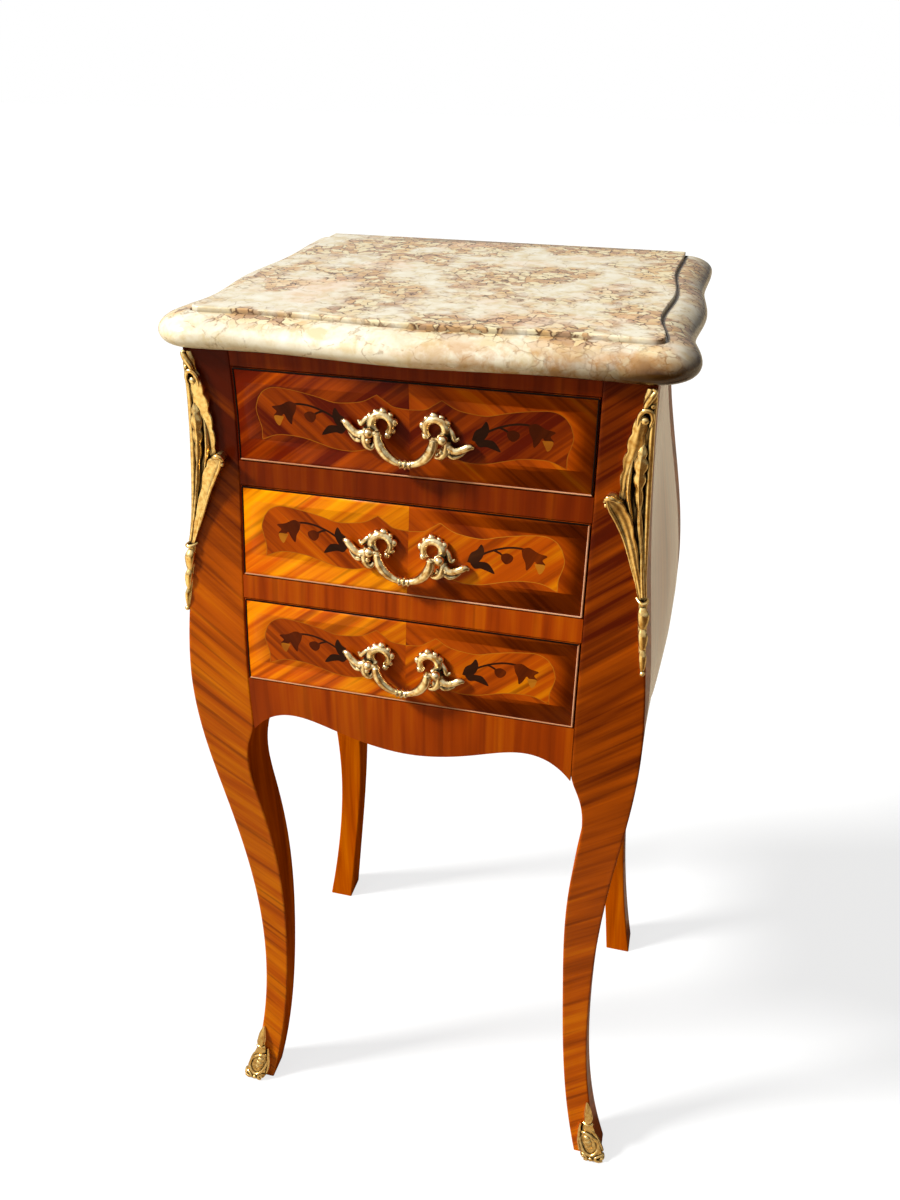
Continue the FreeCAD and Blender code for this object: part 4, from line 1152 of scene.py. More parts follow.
@dataclass
class DrawerFront:
    """Marquetry face of one drawer on the curved front; border and field each have a left and a right value
    of painted light and shade.
    """

    row: str
    border: Limits
    field: Limits
    worn_highlit_right: bool
    thickness: float = 0.00025
    bead: float = 0.0007
    margin_mm: float = 0.5
    opening_gap_mm: float = 0.8
    level_mm: float = 3.0
    line_mm: float = 0.4
    stem_mm: float = 1.4
    wood_shift: float = 0.11
    field_shift: float = 0.05
    cuts: int = 40
    line_steps: int = 5
    petal_steps: int = 4
    edge_steps: int = 16
    edge_sunk: float = 0.2

    def __post_init__(self) -> None:
        """Measures the solid's front."""
        node = f"drawer_{self.row}_front"
        self.low, self.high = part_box(node)
        self.heights = np.linspace(self.low.z + CUT_EDGE / 2, self.high.z - CUT_EDGE / 2, self.cuts)
        self.depths = section_boxes(node, self.heights)[:, 2]

    def depth(self, z: float) -> float:
        """Depth of the front's surface at a height."""
        return float(np.interp(z, self.heights, self.depths))

    def regions(self) -> list[tuple[Region, Points]]:
        """Draws every inlaid part.

        Returns:
            Their outlines, the uppermost first, across and up in millimetres.
        """
        half_top = [point for run in CARTOUCHE_TOP for point in fine_curve(run, self.line_steps)[:-1]]
        right = np.vstack([half_top, fine_curve(CARTOUCHE_FOOT, self.line_steps)])
        ring = np.vstack([right, (right * (-1, 1))[::-1][1:-1]])
        inlays = ((Region.PALE, SPRAY_PALE), (Region.PETAL, SPRAY_PETALS), (Region.LEAF, SPRAY_LEAVES))
        shapes: list[tuple[Region, Points]] = []
        for side in (1, -1):
            flip = np.array((side, 1))
            for region, outlines in inlays:
                for outline in outlines:
                    closed = fine_curve(outline + outline[:1], self.petal_steps)[:-1]
                    shapes.append((region, closed * flip))
            for stem in SPRAY_STEMS:
                path = fine_curve(stem, self.line_steps)
                shapes.append((Region.STEM, ribbon(path, self.stem_mm) * flip))
        shapes.append((Region.FIELD, offset(ring, -self.line_mm / 2)))
        shapes.append((Region.LINE, offset(ring, self.line_mm / 2)))
        top = self.high.z / MM + self.opening_gap_mm
        return [(region, outline * (1, -1) + (0, top)) for region, outline in shapes]

    def sheet(self) -> tuple[Shape, list[Region]]:
        """Cuts a sheet along every joint and bends it on to the front.

        Returns:
            The sheet's shape, and the part of the marquetry that each face belongs to.
        """
        x = self.high.x / MM - self.margin_mm
        z0 = self.low.z / MM + self.margin_mm
        z1 = self.high.z / MM - self.margin_mm
        regions = self.regions()
        points: list[tuple[float, float]] = []
        edges: list[tuple[int, int]] = []
        for _, outline in regions:
            first = len(points)
            points += [tuple(point) for point in outline]
            edges += [(first + i, first + (i + 1) % len(outline)) for i in range(len(outline))]
        runs = [((-x, z), (x, z)) for z in np.linspace(z0, z1, round((z1 - z0) / self.level_mm) + 1)]
        runs += [((at, z0), (at, z1)) for at in (-x, 0.0, x)]
        for run in runs:
            points += run
            edges.append((len(points) - 2, len(points) - 1))
        flat = [Vector(point) for point in points]
        places, _, faces, *_ = geometry.delaunay_2d_cdt(flat, edges, [], 0, 1e-4)
        kept: Faces = []
        kinds: list[Region] = []
        for face in faces:
            middle = sum((places[i] for i in face), Vector((0, 0))) / len(face)
            if abs(middle.x) > x or not z0 < middle.y < z1:
                continue
            found = [region for region, outline in regions if inside(middle, outline)]
            kinds.append(found[0] if found else Region.BORDER)
            a, b, c = (places[i] for i in face)
            turned_right = (b - a).cross(c - a) > 0
            kept.append(tuple(face) if turned_right else tuple(reversed(face)))
        bent = np.array([(p.x * MM, self.depth(p.y * MM) - self.thickness, p.y * MM) for p in places])
        return (bent, kept), kinds

    def build(self, materials: Materials, forge: Forge) -> None:
        """Lays the marquetry with its grains, and the rounded edge.

        Args:
            materials: The finishes.
            forge: Makes bars and beads.
        """
        (points, faces), kinds = self.sheet()
        woods = [materials.veneer, materials.leaf, materials.petal, materials.pale]
        name = f"drawer_{self.row}_marquetry"
        piece = make_piece(name, (points, faces), woods, f"drawer_{self.row}")
        lies = []
        light_and_shade = []
        for polygon, region in zip(piece.data.polygons, kinds):
            number, lean = region.value
            polygon.material_index = number
            right = polygon.center.x > 0
            for index in polygon.vertices:
                x, _, z = points[index]
                along, across = turned(x, z, lean if right else -lean)
                shift = self.field_shift if region is Region.FIELD else 0.0
                lies.append((along + self.wood_shift * number, across + shift))
            # Painted light and shade of the border or the field, left or right
            light_and_shade.append((self.border if region is Region.BORDER else self.field)[right])
        set_grain(piece, lies, light_and_shade)
        solid = piece.modifiers.new("veneer_thickness", "SOLIDIFY")
        solid.thickness = self.thickness
        solid.offset = -1
        self.edge_bead(materials, forge)

    def edge_bead(self, materials: Materials, forge: Forge) -> None:
        """Lays a rounded edge round the front, which catches the light: pale worn wood with a painted
        highlight on some sides, near-black painted shade of the gap on the others.

        Args:
            materials: The finishes.
            forge: Makes bars and beads.
        """
        x = self.high.x - self.bead
        z0 = self.low.z + self.bead
        z1 = self.high.z - self.bead
        sunk = self.edge_sunk * self.bead
        low, high = (np.array([(at, self.depth(z) + sunk, z) for at in (-x, 0, x)]) for z in (z0, z1))
        climb = np.linspace(z0, z1, self.edge_steps)
        left, right = (np.array([(at, self.depth(z) + sunk, z) for z in climb]) for at in (-x, x))
        # Pale edges: worn wood with a painted highlight
        pale = [low, right] if self.worn_highlit_right else [low]
        # Near-black edges: painted shade of the gap round the drawer
        dark = [high, left] if self.worn_highlit_right else [high, left, right]
        for word, runs, wood in (("worn_highlit_edge", pale, materials.worn), ("gap_shade_edge", dark, materials.black)):
            shape = forge.bars([(run, [self.bead] * len(run)) for run in runs], wood, sides=8)
            make_piece(f"drawer_{self.row}_{word}", shape, [wood], f"drawer_{self.row}")


# Body, leaf, leaf below and frond of a right handle plate: across, up, out and thickness in millimetres
PLATE_RUNS = (
    (
        (25.5, -1.5, 3.0, 2.9), (26.0, -7, 3.2, 3.3), (24.0, -12, 3.0, 3.0),
        (20.5, -13.2, 2.8, 2.2), (19.2, -10.2, 2.6, 1.5),
    ),
    (
        (26, -5, 3.2, 3.0), (31, -7, 3.4, 2.7), (36, -5.2, 3.2, 2.6),
        (40, -2.5, 3.0, 2.6), (43, -2.4, 2.4, 1.4),
    ),
    ((27, -9, 2.6, 2.4), (31, -11.5, 2.4, 1.9), (35.5, -9.5, 2.0, 1.3), (38.5, -6.5, 1.8, 0.6)),
    ((24, 8, 2.4, 1.6), (28, 4, 2.4, 2.0), (30.5, 0, 2.6, 1.6), (33, 1.5, 2.2, 0.8)),
)
PLATE_BEADS = (
    (11.8, -1.6, 3.2, 2.4), (23.2, -8.8, 4.6, 2.1), (28.8, -7.4, 4.9, 1.5), (42.4, -2.6, 2.4, 1.2)
)
# Ruffles round a plate's scroll: place on the circle in degrees, and size in millimetres
RUFFLES = ((208, 1.9), (168, 2.7), (133, 2.2), (98, 3.0), (64, 2.2), (31, 2.8), (0, 2.1))
# Knop of the bail: place along it and thickness in millimetres
KNOP = ((-4.4, 2.0), (-3.2, 3.2), (-1.6, 2.5), (0.0, 3.7), (1.6, 2.5), (3.2, 3.2), (4.4, 2.0))


@dataclass
class DropHandle:
    """Rocaille drop handle, in millimetres: two scrolled plates and the bail that hangs from them."""

    row: str
    front: DrawerFront
    standoff: float = 10.0
    half_width: float = 18.0
    straight: float = 0.6
    into_knuckle: float = 1.5
    left_turn: float = 14.0
    right_turn: float = -8.0
    centre: tuple[float, float] = (17.5, 4.0)
    scroll_radius: float = 6.5
    scroll_out: float = 2.8
    scroll_steps: int = 34
    scroll_degrees: Limits = (232, -62)
    scroll_shares: tuple = (0, 0.25, 0.7, 1)
    scroll_sizes: tuple = (2.2, 2.8, 3.2, 3.3)
    ruffle_radius: float = 8.4
    ruffle_out: float = 2.2
    knuckle: float = 23.7
    knuckle_size: float = 3.3
    post_from: float = 0.5
    post_short: float = 2.0
    post_sizes: Limits = (2.6, 2.2)
    bail_shares: tuple = (0, 0.15, 0.45, 0.65, 0.88, 1)
    bail_sizes: tuple = (2.0, 2.3, 3.5, 3.6, 2.6, 1.4)
    bail_steps: int = 41
    pin_length: float = 4.0
    pin_size: float = 1.5

    def __post_init__(self) -> None:
        """Finds the pivot and the lean of the wood behind it."""
        joint = next(j for j in frame["joints"] if j["child"] == f"bail_{self.row}")
        self.pivot = Vector(joint["pos_m"])
        span = self.half_width * MM
        z = self.pivot.z
        lean = math.atan2(self.front.depth(z + span) - self.front.depth(z - span), 2 * span)
        self.out = Vector((0, -math.cos(lean), math.sin(lean)))
        self.up = Vector((0, math.sin(lean), math.cos(lean)))

    def place(self, across: float, up: float, out: float) -> Place:
        """Point from places across, up and out of the wood behind the pivot."""
        base = self.pivot - self.out * self.standoff * MM
        return tuple(base + Vector((across * MM, 0, 0)) + self.up * up * MM + self.out * out * MM)

    def around(self, side: int, radius: float, angle: float, out: float) -> Place:
        """Point on a circle round the middle of a plate's scroll."""
        x, z = self.centre
        return self.place(side * (x + radius * math.cos(angle)), z + radius * math.sin(angle), out)

    def leaf_place(self, side: int, across: float, up: float, out: float) -> Place:
        """Point of a plate's leaf, turned about the middle of its scroll.

        Args:
            side: 1 for the right plate, -1 for the left.
            across: Place across.
            up: Place up.
            out: Place out of the wood.
        Returns:
            The place in metres.
        """
        turn = self.right_turn if side > 0 else self.left_turn
        x, z = turned(across - self.centre[0], up - self.centre[1], -turn)
        return self.place(side * (self.centre[0] + x), self.centre[1] + z, out)

    def plate(self, side: int, forge: Forge, metal: Material) -> Shape:
        """Scroll, ruffles, body and leaf of one plate.

        Args:
            side: 1 for the right plate, -1 for the left.
            forge: Makes bars and beads.
            metal: Its material.
        Returns:
            The plate's shape.
        """
        turns = np.radians(np.linspace(*self.scroll_degrees, self.scroll_steps))
        scroll = np.array([self.around(side, self.scroll_radius, angle, self.scroll_out) for angle in turns])
        shares = np.linspace(0, 1, self.scroll_steps)
        paths = [(scroll, np.interp(shares, self.scroll_shares, self.scroll_sizes) * MM)]
        for rows in PLATE_RUNS:
            run = fine_curve(rows)
            paths.append((np.array([self.leaf_place(side, *row[:3]) for row in run]), run[:, 3] * MM))
        knuckle = side * self.knuckle
        reach = (self.post_from, self.standoff - self.post_short)
        post = np.array([self.place(knuckle, 0, out) for out in reach])
        paths.append((post, [size * MM for size in self.post_sizes]))
        beads = []
        for degrees, size in RUFFLES:
            place = self.around(side, self.ruffle_radius, math.radians(degrees), self.ruffle_out)
            beads.append((place, size * MM))
        beads += [(self.leaf_place(side, *place), size * MM) for *place, size in PLATE_BEADS]
        beads.append((self.place(knuckle, 0, self.standoff), self.knuckle_size * MM))
        return joined([forge.bars(paths, metal), forge.beads(beads, metal)])

    def bail(self, forge: Forge, metal: Material) -> Shape:
        """Tapering loop with a knop at its middle.

        Args:
            forge: Makes bars.
            metal: Its material.
        Returns:
            The bail's shape.
        """
        half = self.half_width
        centre = Vector((0, self.pivot.y, self.pivot.z - self.straight * MM))
        climb = (self.straight / 2, self.straight, self.straight + self.into_knuckle)
        path = [(half, up) for up in reversed(climb)]
        turns = np.radians(np.linspace(0, -180, self.bail_steps))
        path += [(half * math.cos(angle), half * math.sin(angle)) for angle in turns]
        path += [(-half, up) for up in climb]
        points = np.array([centre + Vector((x * MM, 0, z * MM)) for x, z in path])
        shares = np.abs(np.linspace(-1, 1, len(points)))
        sizes = np.interp(shares, self.bail_shares, self.bail_sizes) * MM
        low = centre.z - half * MM
        knop = fine_curve([(x * MM, self.pivot.y, low, size * MM) for x, size in KNOP], 4)
        paths = [(points, sizes), (knop[:, :3], knop[:, 3])]
        for side in (-1, 1):
            ends = [(side * at * MM, self.pivot.y, self.pivot.z) for at in (half, half + self.pin_length)]
            paths.append((np.array(ends), [self.pin_size * MM] * 2))
        return forge.bars(paths, metal, sides=14)

    def build(self, materials: Materials, forge: Forge) -> None:
        """Makes both plates and the bail.

        Args:
            materials: The finishes.
            forge: Makes bars and beads.
        """
        metal = materials.handle
        for side, word in ((1, "right"), (-1, "left")):
            node = f"handle_{self.row}_plate_{word}"
            shape = self.plate(side, forge, metal)
            plate = make_piece(f"{node}_cast", shape, [metal], f"drawer_{self.row}", [node])
            set_patina(plate, reach=0.008, strength=5.0)
        node = f"handle_{self.row}_bail"
        shape = self.bail(forge, metal)
        bail = make_piece(f"{node}_cast", shape, [metal], f"bail_{self.row}", [node])
        set_patina(bail, reach=0.004, strength=2.9)


def shell(upper: Points, lower: Points) -> Shape:
    """Closed body between two grids of points, facing outwards.

    Args:
        upper: Rows of points on the seen side.
        lower: The same rows on the hidden side.
    Returns:
        The body's shape.
    """
    rows, columns, _ = upper.shape
    count = rows * columns
    points = np.vstack([upper.reshape(-1, 3), lower.reshape(-1, 3)])
    faces: Faces = []
    for i in range(rows - 1):
        for j in range(columns - 1):
            a = i * columns + j
            quad = (a, a + 1, a + columns + 1, a + columns)
            faces.append(quad)
            faces.append(tuple(index + count for index in reversed(quad)))
    rim = list(range(columns))
    rim += [i * columns + columns - 1 for i in range(1, rows)]
    rim += [(rows - 1) * columns + j for j in range(columns - 2, -1, -1)]
    rim += [i * columns for i in range(rows - 2, 0, -1)]
    for a, b in zip(rim, rim[1:] + rim[:1]):
        faces.append((b, a, a + count, b + count))
    volume = 0.0
    for face in faces:
        corner = points[face[0]]
        for b, c in zip(face[1:], face[2:]):
            volume += float(np.dot(corner, np.cross(points[b], points[c])))
    return points, faces if volume > 0 else [face[::-1] for face in faces]


@dataclass(frozen=True)
class Leaf:
    """Cast leaf along a spine: rows of height, distance round the corner, lift, half width and dome."""

    rows: tuple
    cup: float = 0.0
    ridge: float = 0.0
    lobes: int = 0
    ragged: float = 0.0


@dataclass
class CornerWrap:
    """Places on a front post's outer corner: height, and distance round it from front to side."""

    side: str
    columns: int = 17
    steps: int = 9
    cuts: int = 260
    corner_mm: float = 3.0
    sunk_mm: float = 0.6

    def __post_init__(self) -> None:
        """Measures the post's corner at many heights."""
        node = f"leg_front_{self.side}"
        low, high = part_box(node)
        self.sign = 1 if self.side == "right" else -1
        self.heights = np.linspace(low.z + CUT_EDGE, high.z - CUT_EDGE, self.cuts)
        boxes = section_boxes(node, self.heights)
        self.out = boxes[:, 1] if self.side == "right" else -boxes[:, 0]
        self.front = boxes[:, 2]

    def place(self, z: float, around: float, lift: float) -> Place:
        """Point over the wood.

        Args:
            z: Height in millimetres.
            around: Distance from the corner, on to the front if negative, in millimetres.
            lift: Height over the wood in millimetres.
        Returns:
            The place in metres.
        """
        x = float(np.interp(z * MM, self.heights, self.out)) / MM
        y = float(np.interp(z * MM, self.heights, self.front)) / MM
        angle = math.radians(45 + 45 * math.tanh(around / self.corner_mm))
        x += min(around, 0) + lift * math.sin(angle)
        y += max(around, 0) - lift * math.cos(angle)
        return self.sign * x * MM, y * MM, z * MM

    def run(self, rows: Sequence, steps: int = 8) -> tuple[Points, Points]:
        """Path and thickness over the wood from rows of height, distance, lift and thickness."""
        fine = fine_curve(rows, steps)
        return np.array([self.place(*row[:3]) for row in fine]), fine[:, 3] * MM

    def beads(self, rows: Sequence) -> list[tuple[Place, float]]:
        """Places and sizes of beads over the wood from the same rows."""
        return [(self.place(*row[:3]), row[3] * MM) for row in rows]

    def leaf(self, form: Leaf) -> Shape:
        """Builds one leaf over the wood.

        Args:
            form: The leaf.
        Returns:
            Its closed shape.
        """
        fine = fine_curve(form.rows, self.steps)
        along = np.gradient(fine[:, :2], axis=0)
        along /= np.linalg.norm(along, axis=1)[:, None]
        upper = []
        lower = []
        for i, (z, around, lift, half, dome) in enumerate(fine):
            share = i / (len(fine) - 1)
            reach = half * (1 + form.ragged * abs(math.sin(math.pi * form.lobes * share)))
            top_row = []
            low_row = []
            for u in np.linspace(-1, 1, self.columns):
                at_z = z - along[i, 1] * u * reach
                at = around + along[i, 0] * u * reach
                swell = math.sqrt(max(0.0, 1 - u * u))
                rib = form.ridge * math.cos(2 * math.pi * u)
                top_row.append(self.place(at_z, at, lift + (dome + rib) * swell + form.cup * u * u))
                low_row.append(self.place(at_z, at, -self.sunk_mm))
            upper.append(top_row)
            lower.append(low_row)
        return shell(np.array(upper), np.array(lower))


# Leaves of a corner mount; their rows start with the drop from the case top, all in millimetres
MOUNT_CORE = (
    (2, -4, 0, 2.4, 2.0), (8, -4, 0, 4.0, 3.0), (15, -4.5, 0, 3.6, 2.4), (21, -5.5, 0, 5.4, 2.2),
    (27, -6, 0, 5.0, 2.4), (45, -8, 0, 7.0, 2.0), (62, -9, 0, 7.4, 2.0), (80, -7, 0, 5.6, 2.0),
    (105, -4, 0, 3.6, 2.0), (134, -2.5, 0, 2.6, 2.2), (150, -2.5, 0, 2.8, 2.4), (175, -2.5, 0, 2.2, 2.0),
    (187, -2.5, 0, 1.2, 1.4),
)
MOUNT_BROAD = (
    (18, -7.5, 1.4, 2.2, 2.4), (30, -9, 2.0, 3.8, 2.4), (42, -11, 2.0, 3.8, 1.8),
    (54, -13.5, 1.8, 3.2, 1.4), (66, -15.5, 1.6, 2.2, 1.2), (77, -16.5, 1.6, 0.8, 0.8),
)
MOUNT_BLADE = (
    (46, -11, 2.4, 0.8, 1.2), (58, -12.5, 2.8, 1.5, 2.6),
    (70, -12.5, 2.8, 1.6, 2.8), (86, -9.5, 2.2, 0.8, 1.2),
)
MOUNT_FLANK = (
    (10, -1.6, 0.6, 1.4, 1.6), (26, -1.8, 0.6, 1.6, 2.0), (48, -1.8, 0.6, 1.8, 2.2),
    (76, -1.6, 0.6, 1.6, 2.0), (112, -1.4, 0.6, 1.2, 1.4), (134, -1.4, 0.6, 0.8, 1.0),
)
MOUNT_FLAME = (
    (36, -5.5, 2.4, 0.8, 1.6), (44, -6.2, 3.0, 2.4, 3.2), (54, -6.6, 3.2, 2.6, 3.4),
    (64, -6.6, 3.0, 2.0, 3.0), (78, -5.8, 2.4, 1.2, 2.4), (98, -4.4, 1.8, 1.0, 1.8),
    (116, -3.4, 1.2, 0.6, 1.0),
)
MOUNT_CURL = (
    (136, -3.4, 1.0, 1.4, 1.6), (122, -5.4, 1.2, 1.8, 2.2), (107, -8.4, 1.8, 2.6, 2.2),
    (93, -12, 2.4, 3.4, 1.6), (82, -16, 4.0, 4.2, 1.0), (76, -19.5, 6.2, 4.0, 1.0),
    (72, -22.5, 8.0, 3.0, 1.4), (70, -24.5, 9, 1.6, 1.2),
)
MOUNT_LEAVES = (
    Leaf(MOUNT_CORE),
    Leaf(MOUNT_BROAD, cup=1.0, lobes=5, ragged=0.36, ridge=0.12),
    Leaf(MOUNT_BLADE),
    Leaf(MOUNT_FLANK),
    Leaf(MOUNT_FLAME, lobes=6, ragged=0.55, ridge=0.2),
    Leaf(MOUNT_CURL, cup=1.2, lobes=5, ragged=0.3, ridge=0.12),
)
# A husk of the tail: drop from its top, lift, half width and dome
HUSK = ((0, 1.4, 1.8, 1.6), (4.5, 2.2, 3.0, 2.8), (11, 1.8, 2.6, 2.2), (16, 1.2, 1.4, 0.8))
# Rib of the curl, stem, band, bud, frame of the cabochon, rolled tip: drop, distance, lift, thickness
MOUNT_RUNS = (
    (
        (130, -5.4, 2.0, 0.6), (114, -9.4, 2.8, 0.9), (98, -14, 3.8, 1.1),
        (86, -19, 5.6, 1.2), (77, -23.4, 8.0, 1.2), (70, -25, 9.8, 0.9),
    ),
    ((100, -3.8, 2.2, 0.9), (118, -3.2, 2.4, 1.3), (134, -2.6, 2.4, 1.4)),
    (
        (136, -6, 0.6, 0.9), (137.5, -4, 3.0, 1.2), (138, -2.5, 3.8, 1.3),
        (137.5, -1, 3.0, 1.2), (136, 0.6, 0.6, 0.9),
    ),
    (
        (15, -6.5, 2.4, 1.4), (11, -5.4, 3.0, 1.9), (6.5, -3.4, 3.2, 2.1),
        (3, -2.2, 2.8, 1.5), (1.6, -3.4, 2.4, 0.8),
    ),
    (
        (29, -9, 2.6, 0.8), (24, -9.6, 3.2, 1.2), (18.5, -9, 3.6, 1.5), (15, -6.4, 3.8, 1.6),
        (15.5, -3.4, 3.6, 1.5), (20, -2.2, 3.0, 1.3), (25, -3, 2.6, 0.9),
    ),
    ((71, -19.5, 9.0, 1.4), (69.4, -22, 10.0, 1.9), (69.6, -24.6, 10.0, 1.8), (72.2, -26.4, 9.0, 1.2)),
)
MOUNT_BEADS = (
    (12.4, -2.6, 2.4, 1.7), (21.4, -5.8, 2.2, 2.9), (75, -25.2, 8.0, 1.6), (186.5, -2.5, 1.6, 1.8)
)


@dataclass
class CornerMount:
    """Long acanthus casting on a front post, in millimetres: bud, cabochon, curling leaf, stem, husks."""

    side: str
    top: float
    tail_out: float = 0.0
    tail_from: float = 110.0
    tail_length: float = 80.0
    husk_count: int = 3
    husk_from: float = 141.0
    husk_step: float = 14.4
    husk_size: float = 0.95
    husk_shrink: float = 0.14
    husk_around: float = -2.5

    def leaves(self) -> list[Leaf]:
        """Lists the leaves of the casting.

        Returns:
            The leaves, the husks last.
        """
        leaves = list(MOUNT_LEAVES)
        for step in range(self.husk_count):
            drop = self.husk_from + self.husk_step * step
            size = self.husk_size - self.husk_shrink * step
            rows = []
            for down, *rest in HUSK:
                rows.append((drop + down, self.husk_around, *(size * value for value in rest)))
            leaves.append(Leaf(tuple(rows)))
        return leaves

    def at(self, row: Sequence) -> tuple:
        """Turns a row's drop into a height, with the tail moved round the corner.

        Args:
            row: Drop, distance round the corner and more.
        Returns:
            Height, distance and the rest.
        """
        drop, around, *rest = row
        tail = self.tail_out * max(0.0, drop - self.tail_from) / self.tail_length
        return self.top - drop, around + tail, *rest

    def build(self, materials: Materials, forge: Forge) -> None:
        """Models the casting over the wood.

        Args:
            materials: The finishes.
            forge: Makes bars and beads.
        """
        wrap = CornerWrap(self.side)
        metal = materials.corner
        shapes = []
        for leaf in self.leaves():
            shapes.append(wrap.leaf(replace(leaf, rows=tuple(self.at(row) for row in leaf.rows))))
        shapes.append(forge.bars([wrap.run([self.at(row) for row in rows]) for rows in MOUNT_RUNS], metal))
        shapes.append(forge.beads(wrap.beads([self.at(bead) for bead in MOUNT_BEADS]), metal))
        node = f"corner_mount_{self.side}"
        set_patina(make_piece(f"{node}_cast", joined(shapes), [metal], "case", [node]))


# Leaves of a shoe, in millimetres: height, distance round the corner, lift, half width and dome
SHOE_BODY = (
    (0.4, -7.5, 1.0, 8.6, 5.8), (4, -7.5, 1.4, 9.4, 6.4), (11, -7, 1.2, 9.2, 6.0), (20, -6.2, 0.4, 7.8, 5.2),
    (31, -4.8, 0, 5.2, 4.2), (38, -3.8, 0, 3.4, 3.2), (45, -2.8, 0, 3.8, 3.6), (53, -2.2, 0, 2.8, 2.8),
    (60.5, -2, 0, 0.7, 0.9),
)
SHOE_TIP = (
    (39, -3.8, 2.8, 1.4, 1.6), (44, -3.2, 3.2, 2.4, 2.2), (50, -2.8, 2.4, 2.0, 2.2), (61, -2, 0.6, 0.6, 0.6)
)
# The same for a side leaf, with its distance from the middle of the front
SHOE_SPREAD = (
    (7, 9.2, 2.4, 1.4, 2.2), (16, 8.4, 2.0, 1.6, 2.4), (27, 5.8, 2.0, 1.4, 2.2), (36, 3.4, 1.8, 0.8, 1.0)
)
# Beads of the cabochon, between the toes and in the toes: height, distance from there, lift and size
SHOE_BEADS = (
    (19, 0, -2.4, 4.4), (22.6, 0, -2.4, 4.0), (15.4, 0, -2.4, 4.0),
    (4.4, 0, 0.0, 2.0), (4.8, -6.2, 0.2, 1.7), (4.8, 6.2, 0.2, 1.7),
)


@dataclass
class Shoe:
    """Cast shoe on a front foot, in millimetres: framed cabochon, scrolled toes and a leaf tip."""

    side: str
    cabochon: float = 19.0
    toward_front: float = 7.0
    rim_half: Limits = (10.5, 6.4)
    rim_over: float = 0.7
    rim_size: float = 1.3
    rim_steps: int = 33
    neck_height: float = 37.6
    neck_span: Limits = (-6.8, -0.8)
    neck_size: float = 1.4
    neck_steps: int = 7
    toe: Limits = (6.2, 4.8)
    toe_steps: int = 14
    toe_turn: float = 34.0
    toe_radius: float = 3.6
    toe_closing: float = 0.22
    toe_size: float = 1.5
    toe_taper: float = 0.06
    over: float = 0.3

    def raised(self, z: float, around: float, over: float, size: float) -> tuple[float, float, float, float]:
        """Row for a bar or bead that lies over the body's surface.

        Args:
            z: Height.
            around: Distance round the corner.
            over: Lift over the body's surface.
            size: Thickness.
        Returns:
            Height, distance, lift over the wood and thickness.
        """
        rows = np.array(SHOE_BODY)
        middle, lift, half, dome = (float(np.interp(z, rows[:, 0], rows[:, k])) for k in (1, 2, 3, 4))
        away = min(1.0, abs(around - middle) / half)
        return z, around, lift + dome * math.sqrt(1 - away * away) + over, size

    def leaves(self) -> list[Leaf]:
        """Lists the leaves of the shoe.

        Returns:
            Body, tip and side leaves.
        """
        leaves = [Leaf(SHOE_BODY), Leaf(SHOE_TIP, cup=0.4)]
        for way in (-1, 1):
            rows = tuple((z, way * reach - self.toward_front, *rest) for z, reach, *rest in SHOE_SPREAD)
            leaves.append(Leaf(rows))
        return leaves

    def toe_scroll(self, way: int) -> list:
        """Draws one scrolled toe.

        Args:
            way: -1 on the front, 1 on the side.
        Returns:
            Its rows.
        """
        reach, height = self.toe
        rows = []
        for step in range(self.toe_steps):
            angle = math.radians(self.toe_turn * step - 90)
            radius = self.toe_radius - self.toe_closing * step
            across = way * (reach - radius * math.cos(angle)) - self.toward_front
            size = self.toe_size - self.toe_taper * step
            rows.append(self.raised(height + radius * math.sin(angle), across, self.over, size))
        return rows

    def build(self, materials: Materials, forge: Forge) -> None:
        """Models the casting over the foot.

        Args:
            materials: The finishes.
            forge: Makes bars and beads.
        """
        wrap = CornerWrap(self.side)
        metal = materials.corner
        shapes = [wrap.leaf(leaf) for leaf in self.leaves()]
        tall, wide = self.rim_half
        rim = []
        for angle in np.radians(np.linspace(0, 360, self.rim_steps)):
            z = self.cabochon + tall * math.cos(angle)
            across = wide * math.sin(angle) - self.toward_front
            rim.append(self.raised(z, across, self.rim_over, self.rim_size))
        span = np.linspace(*self.neck_span, self.neck_steps)
        neck = [self.raised(self.neck_height, around, self.over, self.neck_size) for around in span]
        paths = [wrap.run(rim, steps=1), wrap.run(neck, steps=2)]
        paths += [wrap.run(self.toe_scroll(way), steps=3) for way in (-1, 1)]
        shapes.append(forge.bars(paths, metal))
        beads = [self.raised(z, across - self.toward_front, *rest) for z, across, *rest in SHOE_BEADS]
        shapes.append(forge.beads(wrap.beads(beads), metal))
        points, faces = joined(shapes)
        points[:, 2] = np.maximum(points[:, 2], 0.0)
        node = f"shoe_{self.side}"
        piece = make_piece(f"{node}_cast", (points, faces), [metal], "case", [node])
        set_patina(piece, reach=0.004)


class JoineryWoods:
    """Wood of the pieces whose solids are shown as they are."""

    RAILS = ("drawer_rail_lower", "front_apron")
    # Rails near the top carry the painted shade of the marble's overhang
    SHADED_RAILS = ("top_rail_front", "drawer_rail_upper")

    def dress(self, materials: Materials) -> None:
        """Gives each shown solid its wood or metal.

        Args:
            materials: The finishes.
        """
        for name, node in frame["nodes"].items():
            if name in self.RAILS or (name.startswith("drawer") and name.endswith("_front")):
                surface = materials.rail
            elif name in self.SHADED_RAILS:
                surface = materials.shaded_rail
            elif name.endswith("_nuts"):
                surface = materials.handle
            elif "side" in name or "runners" in name or "kickers" in name:
                surface = materials.oak_deep
            else:
                surface = materials.oak_wide
            node.data.materials.clear()
            node.data.materials.append(surface)


